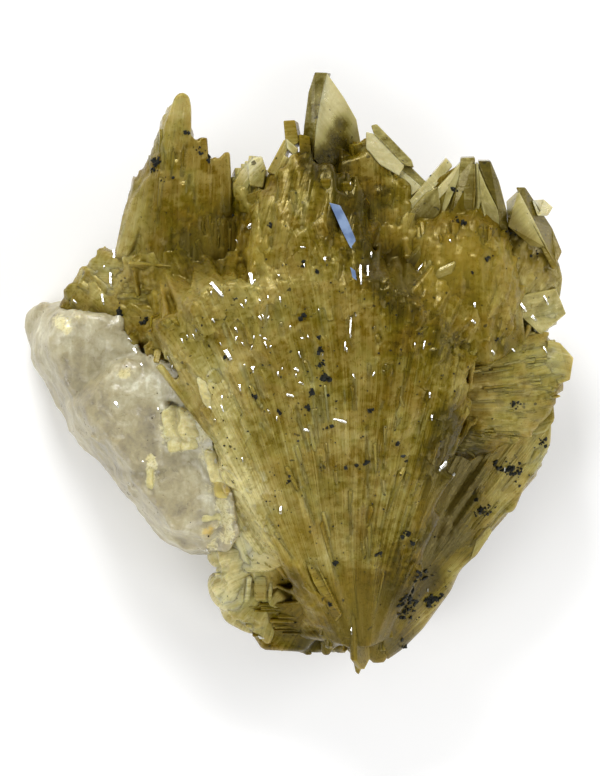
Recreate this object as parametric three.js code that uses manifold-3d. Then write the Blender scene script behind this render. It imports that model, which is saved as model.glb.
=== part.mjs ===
// A cabinet specimen of golden barite on calcite with chalcopyrite, lying on its broken back.
//
// Millimetres, +Z up. X runs across the specimen and Y along it, from the root, where the large fan of
// barite starts, to the tip of the tallest blade. The origin is on the surface that the specimen lies on,
// under the middle of its outline.
//
// Barite grows in plates. A plate is an extruded outline in (u, v): u runs from its root to its tip and
// v from its front edge inwards, so that v is 0 on the edge that shows and negative behind it. Plates
// that stand side by side between a root rail and a tip rail make a comb, and combs and single plates
// that grow into each other make one sheaf, which is one solid. Sheaves, the calcite and the chalcopyrite
// meet along seams SEAM wide.

import * as THREE from "three";
import { ConvexGeometry } from "three/addons/geometries/ConvexGeometry.js";
import { mergeVertices } from "three/addons/utils/BufferGeometryUtils.js";
import Module from "manifold-3d";

const wasm = await Module();
wasm.setup();

// ---- driving dimensions ----

const SEAM = 0.3; // between two solids that grew against each other
const BUNDLE = 5; // plates of a comb that a neighbour grows around as one
const SIMPLIFY = 0.1; // faces smaller than this are merged into their neighbours
const BEVEL = 0.3; // a crystal edge's bevel, as a share of half the plate's thickness
const REST_PLANE = 0; // height of the broken face that the specimen lies on

const BARITE = { color: 0x8d7f42, roughness: 0.3, metalness: 0 };
const CLEAR_BARITE = { color: 0xbdb17c, roughness: 0.15, metalness: 0 };
const PALE_BARITE = { color: 0xa79d61, roughness: 0.4, metalness: 0 };
const CALCITE = { color: 0xbfb6a0, roughness: 0.45, metalness: 0 };
const CHALCOPYRITE = { color: 0x2a2d26, roughness: 0.35, metalness: 0.8 };

// ---- helpers ----

// Repeatable random numbers from 0 to 1, so that every build grows the same crystals.
function dice(seed) {
  let state = seed;
  return () => {
    state = (state + 0x6d2b79f5) | 0;
    let t = Math.imul(state ^ (state >>> 15), 1 | state);
    t = (t + Math.imul(t ^ (t >>> 7), 61 | t)) ^ t;
    return ((t ^ (t >>> 14)) >>> 0) / 4294967296;
  };
}

const point = (p) => new THREE.Vector3(...p);

// The point a share s of the way along a rail, which is a list of points evenly spaced in s.
function along(rail, s) {
  const place = Math.min(Math.max(s, 0), 1) * (rail.length - 1);
  const i = Math.min(Math.floor(place), rail.length - 2);
  return point(rail[i]).lerp(point(rail[i + 1]), place - i);
}

// A closed three.js geometry as a solid.
function solid(geometry) {
  const bare = geometry.clone();
  bare.deleteAttribute("normal");
  bare.deleteAttribute("uv");
  const merged = mergeVertices(bare, 1e-4);
  return new wasm.Manifold(
    new wasm.Mesh({
      numProp: 3,
      vertProperties: merged.attributes.position.array,
      triVerts: new Uint32Array(merged.index.array),
    }),
  );
}

// A solid as a three.js geometry.
function geometryOf(made) {
  const mesh = made.getMesh();
  const count = mesh.numVert;
  const position = new Float32Array(count * 3);
  for (let i = 0; i < count; i++)
    position.set(mesh.vertProperties.subarray(i * mesh.numProp, i * mesh.numProp + 3), i * 3);
  const geometry = new THREE.BufferGeometry();
  geometry.setAttribute("position", new THREE.BufferAttribute(position, 3));
  geometry.setIndex(new THREE.BufferAttribute(new Uint32Array(mesh.triVerts), 1));
  geometry.computeVertexNormals();
  return geometry;
}

// The largest piece of a solid: cuts can leave crumbs, which a real seam wouldn't hold.
function largest(made) {
  const pieces = made.decompose();
  return pieces.reduce((best, piece) => (piece.volume() > best.volume() ? piece : best));
}

// ---- crystals ----

// A plate of barite. root and tip are the ends of its front edge, and front is roughly the way that edge
// faces. grow makes every side that much larger, for the seam cut into a neighbour.
function plate({ root, tip, front = [0, 0, 1], outline, thick, rootThick = 1, bevelled = false }, grow = 0) {
  const u = tip.clone().sub(root);
  const length = u.length();
  u.normalize();
  const w = new THREE.Vector3().crossVectors(u, point(front)).normalize();
  const v = new THREE.Vector3().crossVectors(w, u);
  const points = outline(length);
  const lowest = Math.min(...points.map((p) => p[1]));
  const highest = Math.max(...points.map((p) => p[1]));
  const depth = highest - lowest;
  const shape = new THREE.Shape(points.map(([a, b]) => new THREE.Vector2(a, b)));
  const geometry = new THREE.ExtrudeGeometry(shape, { depth: 1, steps: bevelled ? 3 : 1, bevelEnabled: false });
  const places = geometry.attributes.position;
  for (let i = 0; i < places.count; i++) {
    const layer = places.getZ(i) * 2 - 1;
    const half = (thick * (rootThick + ((1 - rootThick) * places.getX(i)) / length)) / 2;
    const outer = Math.abs(layer) > 0.99;
    const bevel = bevelled && outer ? BEVEL * half : 0;
    const a = length / 2 + (places.getX(i) - length / 2) * (1 + (2 * (grow - bevel)) / length);
    const b = (lowest + highest) / 2 + (places.getY(i) - (lowest + highest) / 2) * (1 + (2 * (grow - bevel)) / depth);
    const c = Math.sign(layer) * (outer ? half + grow : half * (1 - BEVEL) + grow);
    places.setXYZ(
      i,
      root.x + u.x * a + v.x * b + w.x * c,
      root.y + u.y * a + v.y * b + w.y * c,
      root.z + u.z * a + v.z * b + w.z * c,
    );
  }
  return geometry;
}

// The outline of a plate in a comb: its front edge bows out by bulge, and its tip is cut like a chisel.
const chisel = (depthRoot, depthTip, bulge, cut) => (length) => [
  [0, 0],
  [length * 0.52, bulge],
  [length - cut, bulge * 0.25],
  [length, -cut * 0.9],
  [length - cut * 0.3, -depthTip],
  [0, -depthRoot],
];

// A comb's plates, side by side between two rails. reach, lift and lean are how far a plate may be
// longer, higher or turned than its neighbours.
function comb(spec, grow) {
  const roll = dice(spec.seed);
  const made = [];
  for (let i = 0; i < spec.count; i++) {
    const s = (i + 0.5 + (roll() - 0.5) * 0.3) / spec.count;
    const root = along(spec.rootRail, s);
    const tip = along(spec.tipRail, s);
    const lift = (roll() - 0.5) * spec.lift;
    root.z += lift * 0.5;
    tip.z += lift;
    const way = tip.clone().sub(root).normalize();
    tip.addScaledVector(way, -roll() * spec.reach);
    const lean = (roll() - 0.5) * (spec.lean ?? 0.3);
    const side = new THREE.Vector3(-way.y, way.x, 0).normalize().multiplyScalar(lean);
    const front = side.add(point(spec.front ?? [0, 0, 1]));
    made.push(
      plate(
        {
          root,
          tip,
          front: front.toArray(),
          outline: chisel(spec.depthRoot, spec.depthTip, spec.bulge ?? 0, spec.cut),
          thick: spec.thick * (0.8 + 0.4 * roll()),
          rootThick: spec.rootThick ?? 0.4,
          bevelled: spec.bevelled ?? false,
        },
        grow,
      ),
    );
  }
  return made;
}

// A single large plate. corner is where its front edge starts, long runs up that edge and wide across
// its face. cuts are the shares of the width and of the length that the tip's two corners lose.
function board({ corner, long, wide, thick, nearCut = [0.1, 0.05], farCut = [0.5, 0.4] }, grow) {
  const root = point(corner);
  const tip = root.clone().add(point(long));
  const across = point(wide);
  const width = across.length();
  const outline = (length) => [
    [0, 0],
    [length * (1 - nearCut[1]), 0],
    [length, -width * nearCut[0]],
    [length * (1 - farCut[1] * 0.35), -width * (1 - farCut[0] * 0.5)],
    [length * (1 - farCut[1]), -width],
    [0, -width],
  ];
  const front = across.clone().negate().toArray();
  return plate({ root, tip, front, outline, thick, bevelled: true }, grow);
}

// A crystal or a boulder: the convex hull of its points.
const hull = (points) => solid(new ConvexGeometry(points));

// A geometry's corners, each once.
function corners(geometry) {
  const bare = geometry.clone();
  bare.deleteAttribute("normal");
  bare.deleteAttribute("uv");
  const places = mergeVertices(bare, 1e-4).attributes.position;
  return Array.from({ length: places.count }, (_, i) => new THREE.Vector3().fromBufferAttribute(places, i));
}

// A boulder of broken rock. outline is its widest section, which its foot and its top are smaller than.
function boulder({ outline, heights, inset, seed }, grow = 0) {
  const roll = dice(seed);
  const middle = outline.reduce(([x, y], p) => [x + p[0] / outline.length, y + p[1] / outline.length], [0, 0]);
  const shares = [1 - inset * 0.8, 1, 0.93, 1 - inset];
  const points = heights.flatMap((height, level) =>
    outline.flatMap(([x, y]) => {
      const share = shares[level] - (level === 1 ? 0 : 0.06 * roll());
      const dip = level === 3 ? 3 * roll() : level === 2 ? 2 * roll() : 0;
      const reach = share + grow / Math.hypot(x - middle[0], y - middle[1]);
      const [a, b] = [middle[0] + (x - middle[0]) * reach, middle[1] + (y - middle[1]) * reach];
      return (grow ? [-grow, grow] : [0]).map((step) => new THREE.Vector3(a, b, height - dip + step));
    }),
  );
  return hull(points);
}

// A crystal of chalcopyrite, eight faces that are four large and four small.
function sphenoid([x, y, z], radius, turn, grow = 0) {
  const reach = radius + grow;
  const ends = [[1, 0.1, 0.12], [-0.95, 0.08, 0.1], [0.1, 0.9, -0.1], [0, -1, -0.12], [0.06, 0, 0.85], [0, 0.1, -0.9]];
  return hull(
    ends.map(([a, b, c]) => {
      const across = a * Math.cos(turn) - b * Math.sin(turn);
      const ahead = a * Math.sin(turn) + b * Math.cos(turn);
      return new THREE.Vector3(x + across * reach, y + ahead * reach, z + c * reach);
    }),
  );
}

// ---- the barite sheaves, front to back ----

const CENTRAL_FAN = {
  combs: [
    {
      seed: 11,
      count: 22,
      rootRail: [[4.4, -36.6, 15], [7.1, -38.6, 16], [9.9, -38.6, 16], [12.6, -36.8, 14]],
      tipRail: [
        [-14.6, -4.4, 21.5], [-18.6, 0.6, 23], [-20.4, 5, 24.5], [-18.4, 9.2, 27], [-13.2, 12.6, 30], [-6.9, 14.2, 32.5],
        [0.1, 14.8, 34], [7.1, 14.6, 34.5], [13.4, 13.6, 33], [18.3, 11.2, 30.5], [21.4, 6.6, 28], [22.3, 1, 26],
        [21.2, -5.2, 24.5], [19, -12.4, 22],
      ],
      depthRoot: 9, depthTip: 9, bulge: 6.5, cut: 2.6, thick: 4.6, rootThick: 0.2, reach: 2.6, lift: 2.2, lean: 0.12,
    },
    {
      seed: 13,
      count: 4,
      rootRail: [[5, -28, 20], [8, -29, 21], [12, -28, 18]],
      tipRail: [[3.4, -39.6, 13.5], [6, -39.8, 14], [10.2, -40, 13], [12.8, -39.6, 11]],
      depthRoot: 8, depthTip: 3, bulge: 0.4, cut: 2.4, thick: 2.2, rootThick: 1.2, reach: 0.1, lift: 0.6,
    },
  ],
  boards: [
    { corner: [7, -30, 20], long: [0.7, -12.2, -5], wide: [1.8, 0, -3], thick: 1.3, nearCut: [0.1, 0.1], farCut: [0.6, 0.2] },
  ],
};

const UPPER_CENTRE_SHEAF = {
  combs: [
    {
      seed: 21,
      count: 9,
      rootRail: [[-8.6, 10, 24], [-2, 8, 28], [4, 8, 29], [8.4, 10, 26]],
      tipRail: [[-5.4, 26.4, 20], [-3.2, 30.2, 21.5], [-1, 33.4, 22.5], [1.2, 32, 23], [3.4, 28, 23.5], [6.6, 22, 23]],
      depthRoot: 12, depthTip: 7, bulge: 1.6, cut: 2, thick: 2.3, rootThick: 1.1, reach: 0.8, lift: 1.4, lean: 0.15,
    },
    {
      seed: 22,
      count: 3,
      rootRail: [[-9.2, 14, 20], [-5.6, 14, 22]],
      tipRail: [[-8.6, 27.2, 19], [-7.2, 30, 20], [-5.2, 30.6, 20.5]],
      depthRoot: 9, depthTip: 5, bulge: 0.6, cut: 1.2, thick: 1.5, rootThick: 1.4, reach: 0.2, lift: 0.6,
    },
  ],
  boards: [
    { corner: [-1.9, 22, 20], long: [0.3, 13.2, 1.4], wide: [1.2, 0, -4], thick: 1.3, farCut: [0.2, 0.1] },
  ],
};

const TALL_BLADE = {
  boards: [
    {
      corner: [0.6, 15, 18.4],
      long: [1.8, 27, 4.2],
      wide: [7.2, 0, -5.4],
      thick: 2.6,
      nearCut: [0.16, 0.02],
      farCut: [0.9, 0.34],
    },
    { corner: [4, 14, 14], long: [3.4, 19, 2], wide: [3, 0, -5], thick: 1.5, farCut: [0.6, 0.3] },
  ],
};

const TOP_RIGHT_BLADES = {
  boards: [
    { corner: [8.4, 12, 19], long: [1.9, 22.8, 2], wide: [8.2, -1.2, -3.4], thick: 1.3, nearCut: [0.04, 0.02], farCut: [0.95, 0.36] },
    { corner: [11.4, 9, 21], long: [2.2, 21.6, 0.6], wide: [5.4, -1.5, -4], thick: 1.4, nearCut: [0.04, 0.02], farCut: [0.95, 0.22] },
    { corner: [7.2, 9, 15], long: [3.2, 20, 2], wide: [7, 0, -3], thick: 2, farCut: [0.7, 0.3] },
  ],
  combs: [
    {
      seed: 31,
      count: 4,
      rootRail: [[8.4, 9, 20], [14.5, 8, 22]],
      tipRail: [[9.4, 22, 16], [13, 25.5, 17], [16.5, 25.5, 18.5]],
      depthRoot: 10, depthTip: 6, bulge: 0.6, cut: 1.8, thick: 2.2, rootThick: 1, reach: 1, lift: 1,
    },
  ],
};

const UPPER_RIGHT_SHEAF = {
  combs: [
    {
      seed: 41,
      count: 9,
      rootRail: [[15.2, 9.5, 23], [19, 6.5, 27], [25, 6, 27.5], [30, 8.5, 22]],
      tipRail: [[16.6, 24, 21], [20, 28.6, 23], [23.8, 29.8, 24.5], [27, 28, 24], [29.2, 22.6, 22]],
      depthRoot: 12, depthTip: 6, bulge: 1.8, cut: 2.2, thick: 2.3, rootThick: 1.1, reach: 1.2, lift: 1.4, lean: 0.15,
    },
  ],
  boards: [
    { corner: [13.8, 15.2, 24], long: [6.6, 14.6, 1], wide: [2.1, -0.9, -3], thick: 1, farCut: [0.3, 0.12] },
    { corner: [20.6, 12, 24], long: [2.6, 18.4, 1.2], wide: [1.8, 0.4, -5], thick: 2.2, nearCut: [0.2, 0.03], farCut: [0.4, 0.2] },
    { corner: [29.4, 11.5, 23.4], long: [-2.4, 18.3, 0.6], wide: [-2.6, -0.5, -4.6], thick: 2, nearCut: [0.25, 0.03], farCut: [0.5, 0.25] },
  ],
};

const FAR_RIGHT_BLADES = {
  combs: [
    {
      seed: 45,
      count: 7,
      rootRail: [[27.6, 10, 20], [29, 7, 20], [30, 5.4, 18]],
      tipRail: [[30, 24.6, 20], [33, 23.4, 19.6], [35, 20.4, 18.4], [36.8, 15.4, 17], [36, 12, 16.5], [37.6, 8.4, 15.5], [34, 5.8, 14.5]],
      depthRoot: 9, depthTip: 6, bulge: 0.8, cut: 1.2, thick: 3.4, rootThick: 0.7, reach: 0.3, lift: 1,
    },
  ],
  boards: [
    { corner: [36.8, 14.2, 18], long: [-5.2, 12, 2.4], wide: [-5, -2.4, -4.4], thick: 1.6, nearCut: [0.1, 0.03], farCut: [0.7, 0.3] },
    { corner: [33.2, 17, 13], long: [1.6, 6.4, 1.4], wide: [-3.6, 0.6, -2.4], thick: 1.2, farCut: [0.3, 0.2] },
  ],
};

const RIGHT_FAN = {
  combs: [
    {
      seed: 51,
      count: 10,
      rootRail: [[19, 4.6, 23], [19, -3, 25], [20, -9, 22]],
      tipRail: [[31, 6.4, 20], [36.4, 4.6, 19.5], [39, 2, 19], [37.4, -1.6, 19.4], [35.8, -5, 19.6], [32, -8.8, 20], [25, -11.8, 20]],
      depthRoot: 9, depthTip: 6, bulge: 1.4, cut: 1.4, thick: 2.8, rootThick: 0.7, reach: 0.5, lift: 1.2,
    },
  ],
};

const LOWER_RIGHT_PLATE = {
  combs: [
    {
      seed: 61,
      count: 7,
      rootRail: [[10, -35.5, 12], [11.8, -37, 10], [13.4, -37.4, 8]],
      tipRail: [
        [17.6, -8, 14], [22, -10.4, 17], [27, -9, 19.4], [31.6, -6, 19.6], [34.4, -6.6, 18.6], [34.2, -10.6, 17.4],
        [32, -14.6, 15.6], [28.8, -18.2, 13.4],
      ],
      depthRoot: 7, depthTip: 8, bulge: 1.2, cut: 1.2, thick: 3.8, rootThick: 0.25, reach: 0.3, lift: 1, lean: 0.1,
    },
  ],
  boards: [
    { corner: [14.8, -37.4, 6.4], long: [14, 17, 4.6], wide: [-5, 3, -3.5], thick: 2.6, nearCut: [0.1, 0.05], farCut: [0.3, 0.1] },
    { corner: [23.6, -26.6, 9], long: [8.4, 9.6, 2.4], wide: [-5, 3, -3.5], thick: 2.2, nearCut: [0.1, 0.05], farCut: [0.3, 0.1] },
  ],
};

const LOWER_LEFT_BLADES = {
  combs: [
    {
      seed: 71,
      count: 6,
      rootRail: [[-5, -31, 16], [0, -29, 18]],
      tipRail: [[-11.6, -17, 21], [-9.4, -12, 22.5], [-6, -13.5, 24]],
      depthRoot: 10, depthTip: 9, bulge: 0.8, cut: 1.8, thick: 2.6, rootThick: 0.9, reach: 1.6, lift: 1.4,
    },
    {
      seed: 72,
      count: 6,
      rootRail: [[-1.4, -24, 17], [0, -30, 15]],
      tipRail: [[-11.4, -25.4, 18], [-12.2, -31, 15], [-10.6, -34, 13], [-7.4, -36.6, 11.5], [-5, -38, 10]],
      depthRoot: 9, depthTip: 6, bulge: 0.5, cut: 1.5, thick: 2.8, rootThick: 0.8, reach: 0.4, lift: 1.2,
    },
  ],
};

const ROOT_LEDGE = {
  combs: [
    {
      seed: 81,
      count: 5,
      rootRail: [[6, -30, 12], [7.4, -36, 10]],
      tipRail: [[-4.2, -32.4, 12.5], [-4.6, -37.6, 9], [-1, -39, 8], [3, -39.6, 8.4], [5.6, -39.8, 8]],
      depthRoot: 8, depthTip: 5, bulge: 0.4, cut: 1.2, thick: 2.8, rootThick: 0.8, reach: 0.2, lift: 0.8,
    },
  ],
};

const UPPER_LEFT_HORN = {
  combs: [
    {
      seed: 91,
      count: 11,
      rootRail: [[-25.4, 14.6, 17], [-20, 13.4, 23], [-13, 13.4, 25], [-8, 16, 21]],
      tipRail: [
        [-23.6, 24, 16], [-20.4, 28.8, 18], [-18, 34, 19.4], [-16.6, 38, 20], [-15.6, 37.4, 20], [-14.4, 33.4, 20],
        [-12.8, 32.6, 20], [-11.2, 30.8, 19.6], [-9.6, 31, 19], [-8.6, 27.4, 18.4],
      ],
      depthRoot: 12, depthTip: 5, bulge: 1.4, cut: 1.6, thick: 2.1, rootThick: 1.2, reach: 0.5, lift: 1.2, lean: 0.15,
    },
  ],
  boards: [
    { corner: [-18.6, 19, 22.5], long: [1.4, 20.2, -1.6], wide: [2, 0.4, -5.4], thick: 2.2, nearCut: [0.4, 0.04], farCut: [0.4, 0.08] },
  ],
};

const LEFT_SHOULDER = {
  combs: [
    {
      seed: 101,
      count: 8,
      rootRail: [[-12, 4.4, 21], [-13, 12, 21]],
      tipRail: [[-27, 5.6, 16], [-33, 8.6, 13], [-32.8, 11.6, 13], [-30.4, 14.8, 14], [-26.4, 16.8, 15], [-20, 16, 18]],
      depthRoot: 9, depthTip: 6, bulge: 0.8, cut: 1.4, thick: 3, rootThick: 0.9, reach: 0.6, lift: 1.6,
    },
  ],
};

// ---- the calcite ----

// Boulders, each an outline at its widest and the heights of its foot, waist, brow and top. These stand
// clear of the barite, which grew into them.
const CALCITE_BOULDERS = [
  {
    outline: [[-38.2, 5.6], [-37.6, 2], [-34.2, -4.2], [-30, -10], [-18, -8], [-14, 4], [-22, 11], [-30, 11.2], [-36.4, 9.4]],
    heights: [-4, 7, 12, 18.5], inset: 0.34, seed: 1,
  },
  {
    outline: [[-34, -4], [-32.4, -8], [-28, -12.8], [-23.6, -17.8], [-10, -16], [-8, 0], [-16, 8], [-28, 4]],
    heights: [-4, 8, 15, 23], inset: 0.36, seed: 2,
  },
  {
    outline: [[-28, -12.6], [-23.8, -17.8], [-21.4, -21.2], [-18.4, -23.8], [-15.4, -25.2], [-10.6, -26], [-4, -20], [-5, -6], [-16, -2]],
    heights: [-4, 7, 15, 22], inset: 0.34, seed: 3,
  },
];
// These lie behind the barite and carry it.
const CALCITE_BASE = [
  {
    outline: [[-13, -23], [-4, -31], [6, -36], [13, -33], [21, -15], [22, 0], [14, 9], [0, 11], [-12, 9], [-18, 0]],
    heights: [-6, 3, 11, 25], inset: 0.5, seed: 4,
  },
  {
    outline: [[-24, 5], [-22, 17], [-10, 22], [4, 21], [14, 20], [26, 18], [32, 10], [31, 1], [20, -6], [-12, -6]],
    heights: [-6, 4, 12, 19.5], inset: 0.36, seed: 5,
  },
];
const CALCITE_FLOOR = 30; // depth of the block below the rest plane that the boulders are cut off by

// ---- the chalcopyrite ----

// Each cluster sits on the named sheaf at [x, y], and size is its largest crystal's.
const CHALCOPYRITE_CLUSTERS = [
  { name: "chalcopyrite_root_crystal", on: "lower_right_plate", at: [18.2, -31.2], size: 2.4, count: 3, spread: 1, seed: 201 },
  { name: "chalcopyrite_root_cluster", on: "lower_right_plate", at: [15.6, -33.2], size: 1.5, count: 3, spread: 1.3, seed: 202 },
  { name: "chalcopyrite_plate_low", on: "lower_right_plate", at: [25.6, -19.4], size: 1.5, count: 3, spread: 1.2, seed: 203 },
  { name: "chalcopyrite_plate_middle", on: "lower_right_plate", at: [29.4, -13.4], size: 1.7, count: 3, spread: 1.2, seed: 204 },
  { name: "chalcopyrite_plate_high", on: "lower_right_plate", at: [33.4, -9.6], size: 1.4, count: 3, spread: 1, seed: 205 },
  { name: "chalcopyrite_fan_cluster", on: "central_fan", at: [3.6, -0.4], size: 1.5, count: 3, spread: 1.3, seed: 206 },
  { name: "chalcopyrite_horn_cluster", on: "upper_left_horn", at: [-19.8, 29.6], size: 1.5, count: 3, spread: 0.8, seed: 207 },
];

// ---- assembly ----

// A sheaf's plates as one solid.
function sheaf({ combs = [], boards = [] }) {
  const plates = [...combs.flatMap((spec) => comb(spec, 0)), ...boards.map((spec) => board(spec, 0))];
  return wasm.Manifold.union(plates.map(solid));
}

// The room that a sheaf takes out of its neighbours, with the seam: bundles of plates and single boards.
function room({ combs = [], boards = [] }) {
  const bundles = boards.map((spec) => [board(spec, SEAM)]);
  for (const spec of combs) {
    const plates = comb(spec, SEAM);
    for (let i = 0; i < plates.length; i += BUNDLE) bundles.push(plates.slice(Math.max(i - 1, 0), i + BUNDLE));
  }
  return wasm.Manifold.union(bundles.map((plates) => hull(plates.flatMap(corners))));
}

// The height of a solid's surface over [x, y].
function heightAt(made, [x, y]) {
  const mesh = new THREE.Mesh(geometryOf(made), new THREE.MeshBasicMaterial({ side: THREE.DoubleSide }));
  const ray = new THREE.Raycaster(new THREE.Vector3(x, y, 100), new THREE.Vector3(0, 0, -1));
  const hits = ray.intersectObject(mesh);
  if (!hits.length) throw new Error("nothing is under " + x + ", " + y);
  return hits[0].point.z;
}

// A cluster of chalcopyrite: the crystals around it have grown into the one in the middle.
function cluster({ at, size, count, spread, seed }, height, grow = 0) {
  const roll = dice(seed);
  const crystals = [];
  for (let i = 0; i < count; i++) {
    const turn = (i / (count - 1)) * Math.PI * 2 + roll();
    const away = i === 0 ? 0 : spread * (0.55 + 0.2 * roll());
    const radius = (size / 2) * (i === 0 ? 1 : 0.6 + 0.3 * roll());
    const place = [at[0] + away * Math.cos(turn), at[1] + away * Math.sin(turn), height + radius * 0.15];
    crystals.push(sphenoid(place, radius, roll() * 3, grow));
  }
  return largest(wasm.Manifold.union(crystals).simplify(SIMPLIFY));
}

const SHEAVES = [
  ["central_fan", CENTRAL_FAN, BARITE],
  ["tall_blade", TALL_BLADE, CLEAR_BARITE],
  ["upper_centre_sheaf", UPPER_CENTRE_SHEAF, BARITE],
  ["upper_right_sheaf", UPPER_RIGHT_SHEAF, BARITE],
  ["top_right_blades", TOP_RIGHT_BLADES, CLEAR_BARITE],
  ["far_right_blades", FAR_RIGHT_BLADES, CLEAR_BARITE],
  ["right_fan", RIGHT_FAN, BARITE],
  ["lower_right_plate", LOWER_RIGHT_PLATE, BARITE],
  ["upper_left_horn", UPPER_LEFT_HORN, BARITE],
  ["lower_left_blades", LOWER_LEFT_BLADES, PALE_BARITE],
  ["root_ledge", ROOT_LEDGE, BARITE],
  ["left_shoulder", LEFT_SHOULDER, BARITE],
];

const group = new THREE.Group();

function add(name, made, finish) {
  const mesh = new THREE.Mesh(geometryOf(made), new THREE.MeshStandardMaterial(finish));
  mesh.name = name;
  group.add(mesh);
}

const slab = new THREE.BoxGeometry(200, 200, CALCITE_FLOOR);
slab.translate(0, 0, REST_PLANE - CALCITE_FLOOR / 2);
const below = solid(slab);
const baseRoom = wasm.Manifold.union(CALCITE_BASE.map((spec) => boulder(spec, 1.2 * SEAM)));
const whole = new Map(SHEAVES.map(([name, spec]) => [name, sheaf(spec).subtract(baseRoom)]));
const cutters = [];
for (const spec of CHALCOPYRITE_CLUSTERS) {
  const height = heightAt(whole.get(spec.on), spec.at);
  add(spec.name, cluster(spec, height), CHALCOPYRITE);
  cutters.push(cluster(spec, height, SEAM));
}
for (const [name, spec, finish] of SHEAVES) {
  const made = cutters.reduce((left, cutter) => left.subtract(cutter), whole.get(name));
  add(name, largest(made.simplify(SIMPLIFY)), finish);
  cutters.push(room(spec));
}
const boulders = wasm.Manifold.union(CALCITE_BOULDERS.map((spec) => boulder(spec)));
const clear = cutters.reduce((left, cutter) => left.subtract(cutter), boulders);
const base = wasm.Manifold.union(CALCITE_BASE.map((spec) => boulder(spec)));
add("calcite_matrix", largest(clear.add(base).subtract(below).simplify(SIMPLIFY)), CALCITE);

export default group;
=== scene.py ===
"""Golden barite on calcite with chalcopyrite: its crystals, its finishes and the stage they are shown on."""
import functools
import math
import random

import bmesh
import bpy
import numpy as np
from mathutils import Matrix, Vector
from mathutils.bvhtree import BVHTree
from mathutils.kdtree import KDTree


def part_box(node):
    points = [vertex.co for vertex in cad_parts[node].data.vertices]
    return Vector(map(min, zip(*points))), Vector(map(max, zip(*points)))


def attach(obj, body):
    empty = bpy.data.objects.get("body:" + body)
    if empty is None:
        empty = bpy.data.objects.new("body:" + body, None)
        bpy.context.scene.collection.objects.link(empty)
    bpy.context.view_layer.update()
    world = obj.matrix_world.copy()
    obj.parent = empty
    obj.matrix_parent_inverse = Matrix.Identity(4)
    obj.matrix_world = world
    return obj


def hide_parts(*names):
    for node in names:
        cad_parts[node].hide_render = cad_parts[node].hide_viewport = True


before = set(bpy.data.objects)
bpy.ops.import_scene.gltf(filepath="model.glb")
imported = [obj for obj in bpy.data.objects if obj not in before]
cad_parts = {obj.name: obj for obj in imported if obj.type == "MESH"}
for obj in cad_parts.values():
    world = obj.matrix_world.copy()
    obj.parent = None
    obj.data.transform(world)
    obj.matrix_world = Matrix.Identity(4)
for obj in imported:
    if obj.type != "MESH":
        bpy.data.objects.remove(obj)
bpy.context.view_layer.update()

bl_info = {
    "name": "Barite and calcite specimen",
    "version": (1, 0, 0),
    "blender": (4, 5, 0),
    "location": "3D View > Sidebar > Specimen",
    "description": "Grows the crystals of a mineral specimen on its packed solids and lights it on a pale table",
    "category": "Object",
}

MM = 0.001
ABOVE = 99                  # a height in millimetres that nothing on the specimen reaches
FAN_HEART = (8.5, -38)      # where the large fan spreads from, seen from above, in millimetres
KEY_PLACE = (-0.12, 0.55, 0.38)     # of the brightest lamp
CM = 0.1                    # centimetres in a millimetre: the grain's coordinates are in centimetres
RIM, TIP = 0.92, 0.08       # shares of a plate: where its tip begins, and how long that is
grown = {}                  # the finished pieces by name


# ---- what a user would change ----

def amount(name, description, default, low, high, kind=bpy.props.IntProperty):
    """A size or a number of things."""
    return kind(name=name, description=description, default=default, min=low, max=high)


def hue(name, description, default):
    """The colour of a mineral or of the table."""
    return bpy.props.FloatVectorProperty(
        name=name, description=description, subtype="COLOR", size=3, default=default, min=0, max=1)


class SPECIMEN_PG_sizes(bpy.types.PropertyGroup):
    """Sizes of the specimen's crystals"""
    fan_blades: amount("Fan blades", "Number of small blades on the face of the large fan", 900, 100, 3000)
    blade: amount(
        "Blade", "Thickness of the large fan's blades at its rim, in millimetres", 1.7, 0.2, 3,
        bpy.props.FloatProperty)
    calcite_grain: amount(
        "Calcite grain", "Size of the finest shapes in the calcite, in millimetres", 0.4, 0.25, 3,
        bpy.props.FloatProperty)
    calcite_blocks: amount("Calcite blocks", "Number of cleavage blocks that show in the calcite", 26, 0, 1000)
    grains: amount("Chalcopyrite grains", "Number of small grains strewn on the barite", 260, 0, 3000)


class SPECIMEN_PG_colours(bpy.types.PropertyGroup):
    """Colours of the minerals and of the table, with the brown of the barite's painted shade"""
    # Painted shade: the brown that the barite is painted where its hollows, grooves and crevices lie.
    shade: hue("Brown barite", "Colour of the barite in the hollows", (0.045, 0.028, 0.0006))
    # The amber tone is partly the barite's own darker colour and partly painted shade: the hollows, and the calcite
    # under the barite's edge, are painted through it.
    amber: hue("Amber barite", "Colour of the barite deep in a sheaf", (0.125, 0.09, 0.002))
    gold: hue("Golden barite", "Colour of the massed barite", (0.25, 0.205, 0.042))
    straw: hue("Straw barite", "Colour of the paler barite", (0.37, 0.325, 0.11))
    cream: hue("Cream barite", "Colour of the palest faces of barite", (0.67, 0.61, 0.35))
    ochre: hue("Ochre barite", "Colour of the barite that glows", (0.33, 0.232, 0.026))
    calcite: hue("Calcite", "Colour of the milky calcite", (0.395, 0.345, 0.2))
    crust: hue("Crust", "Colour of the crust where barite meets calcite", (0.74, 0.66, 0.32))
    grain: hue("Chalcopyrite", "Colour of the tarnished chalcopyrite", (0.008, 0.009, 0.007))
    table: hue("Table", "Colour of the pale table", (0.93, 0.93, 0.93))
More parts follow.
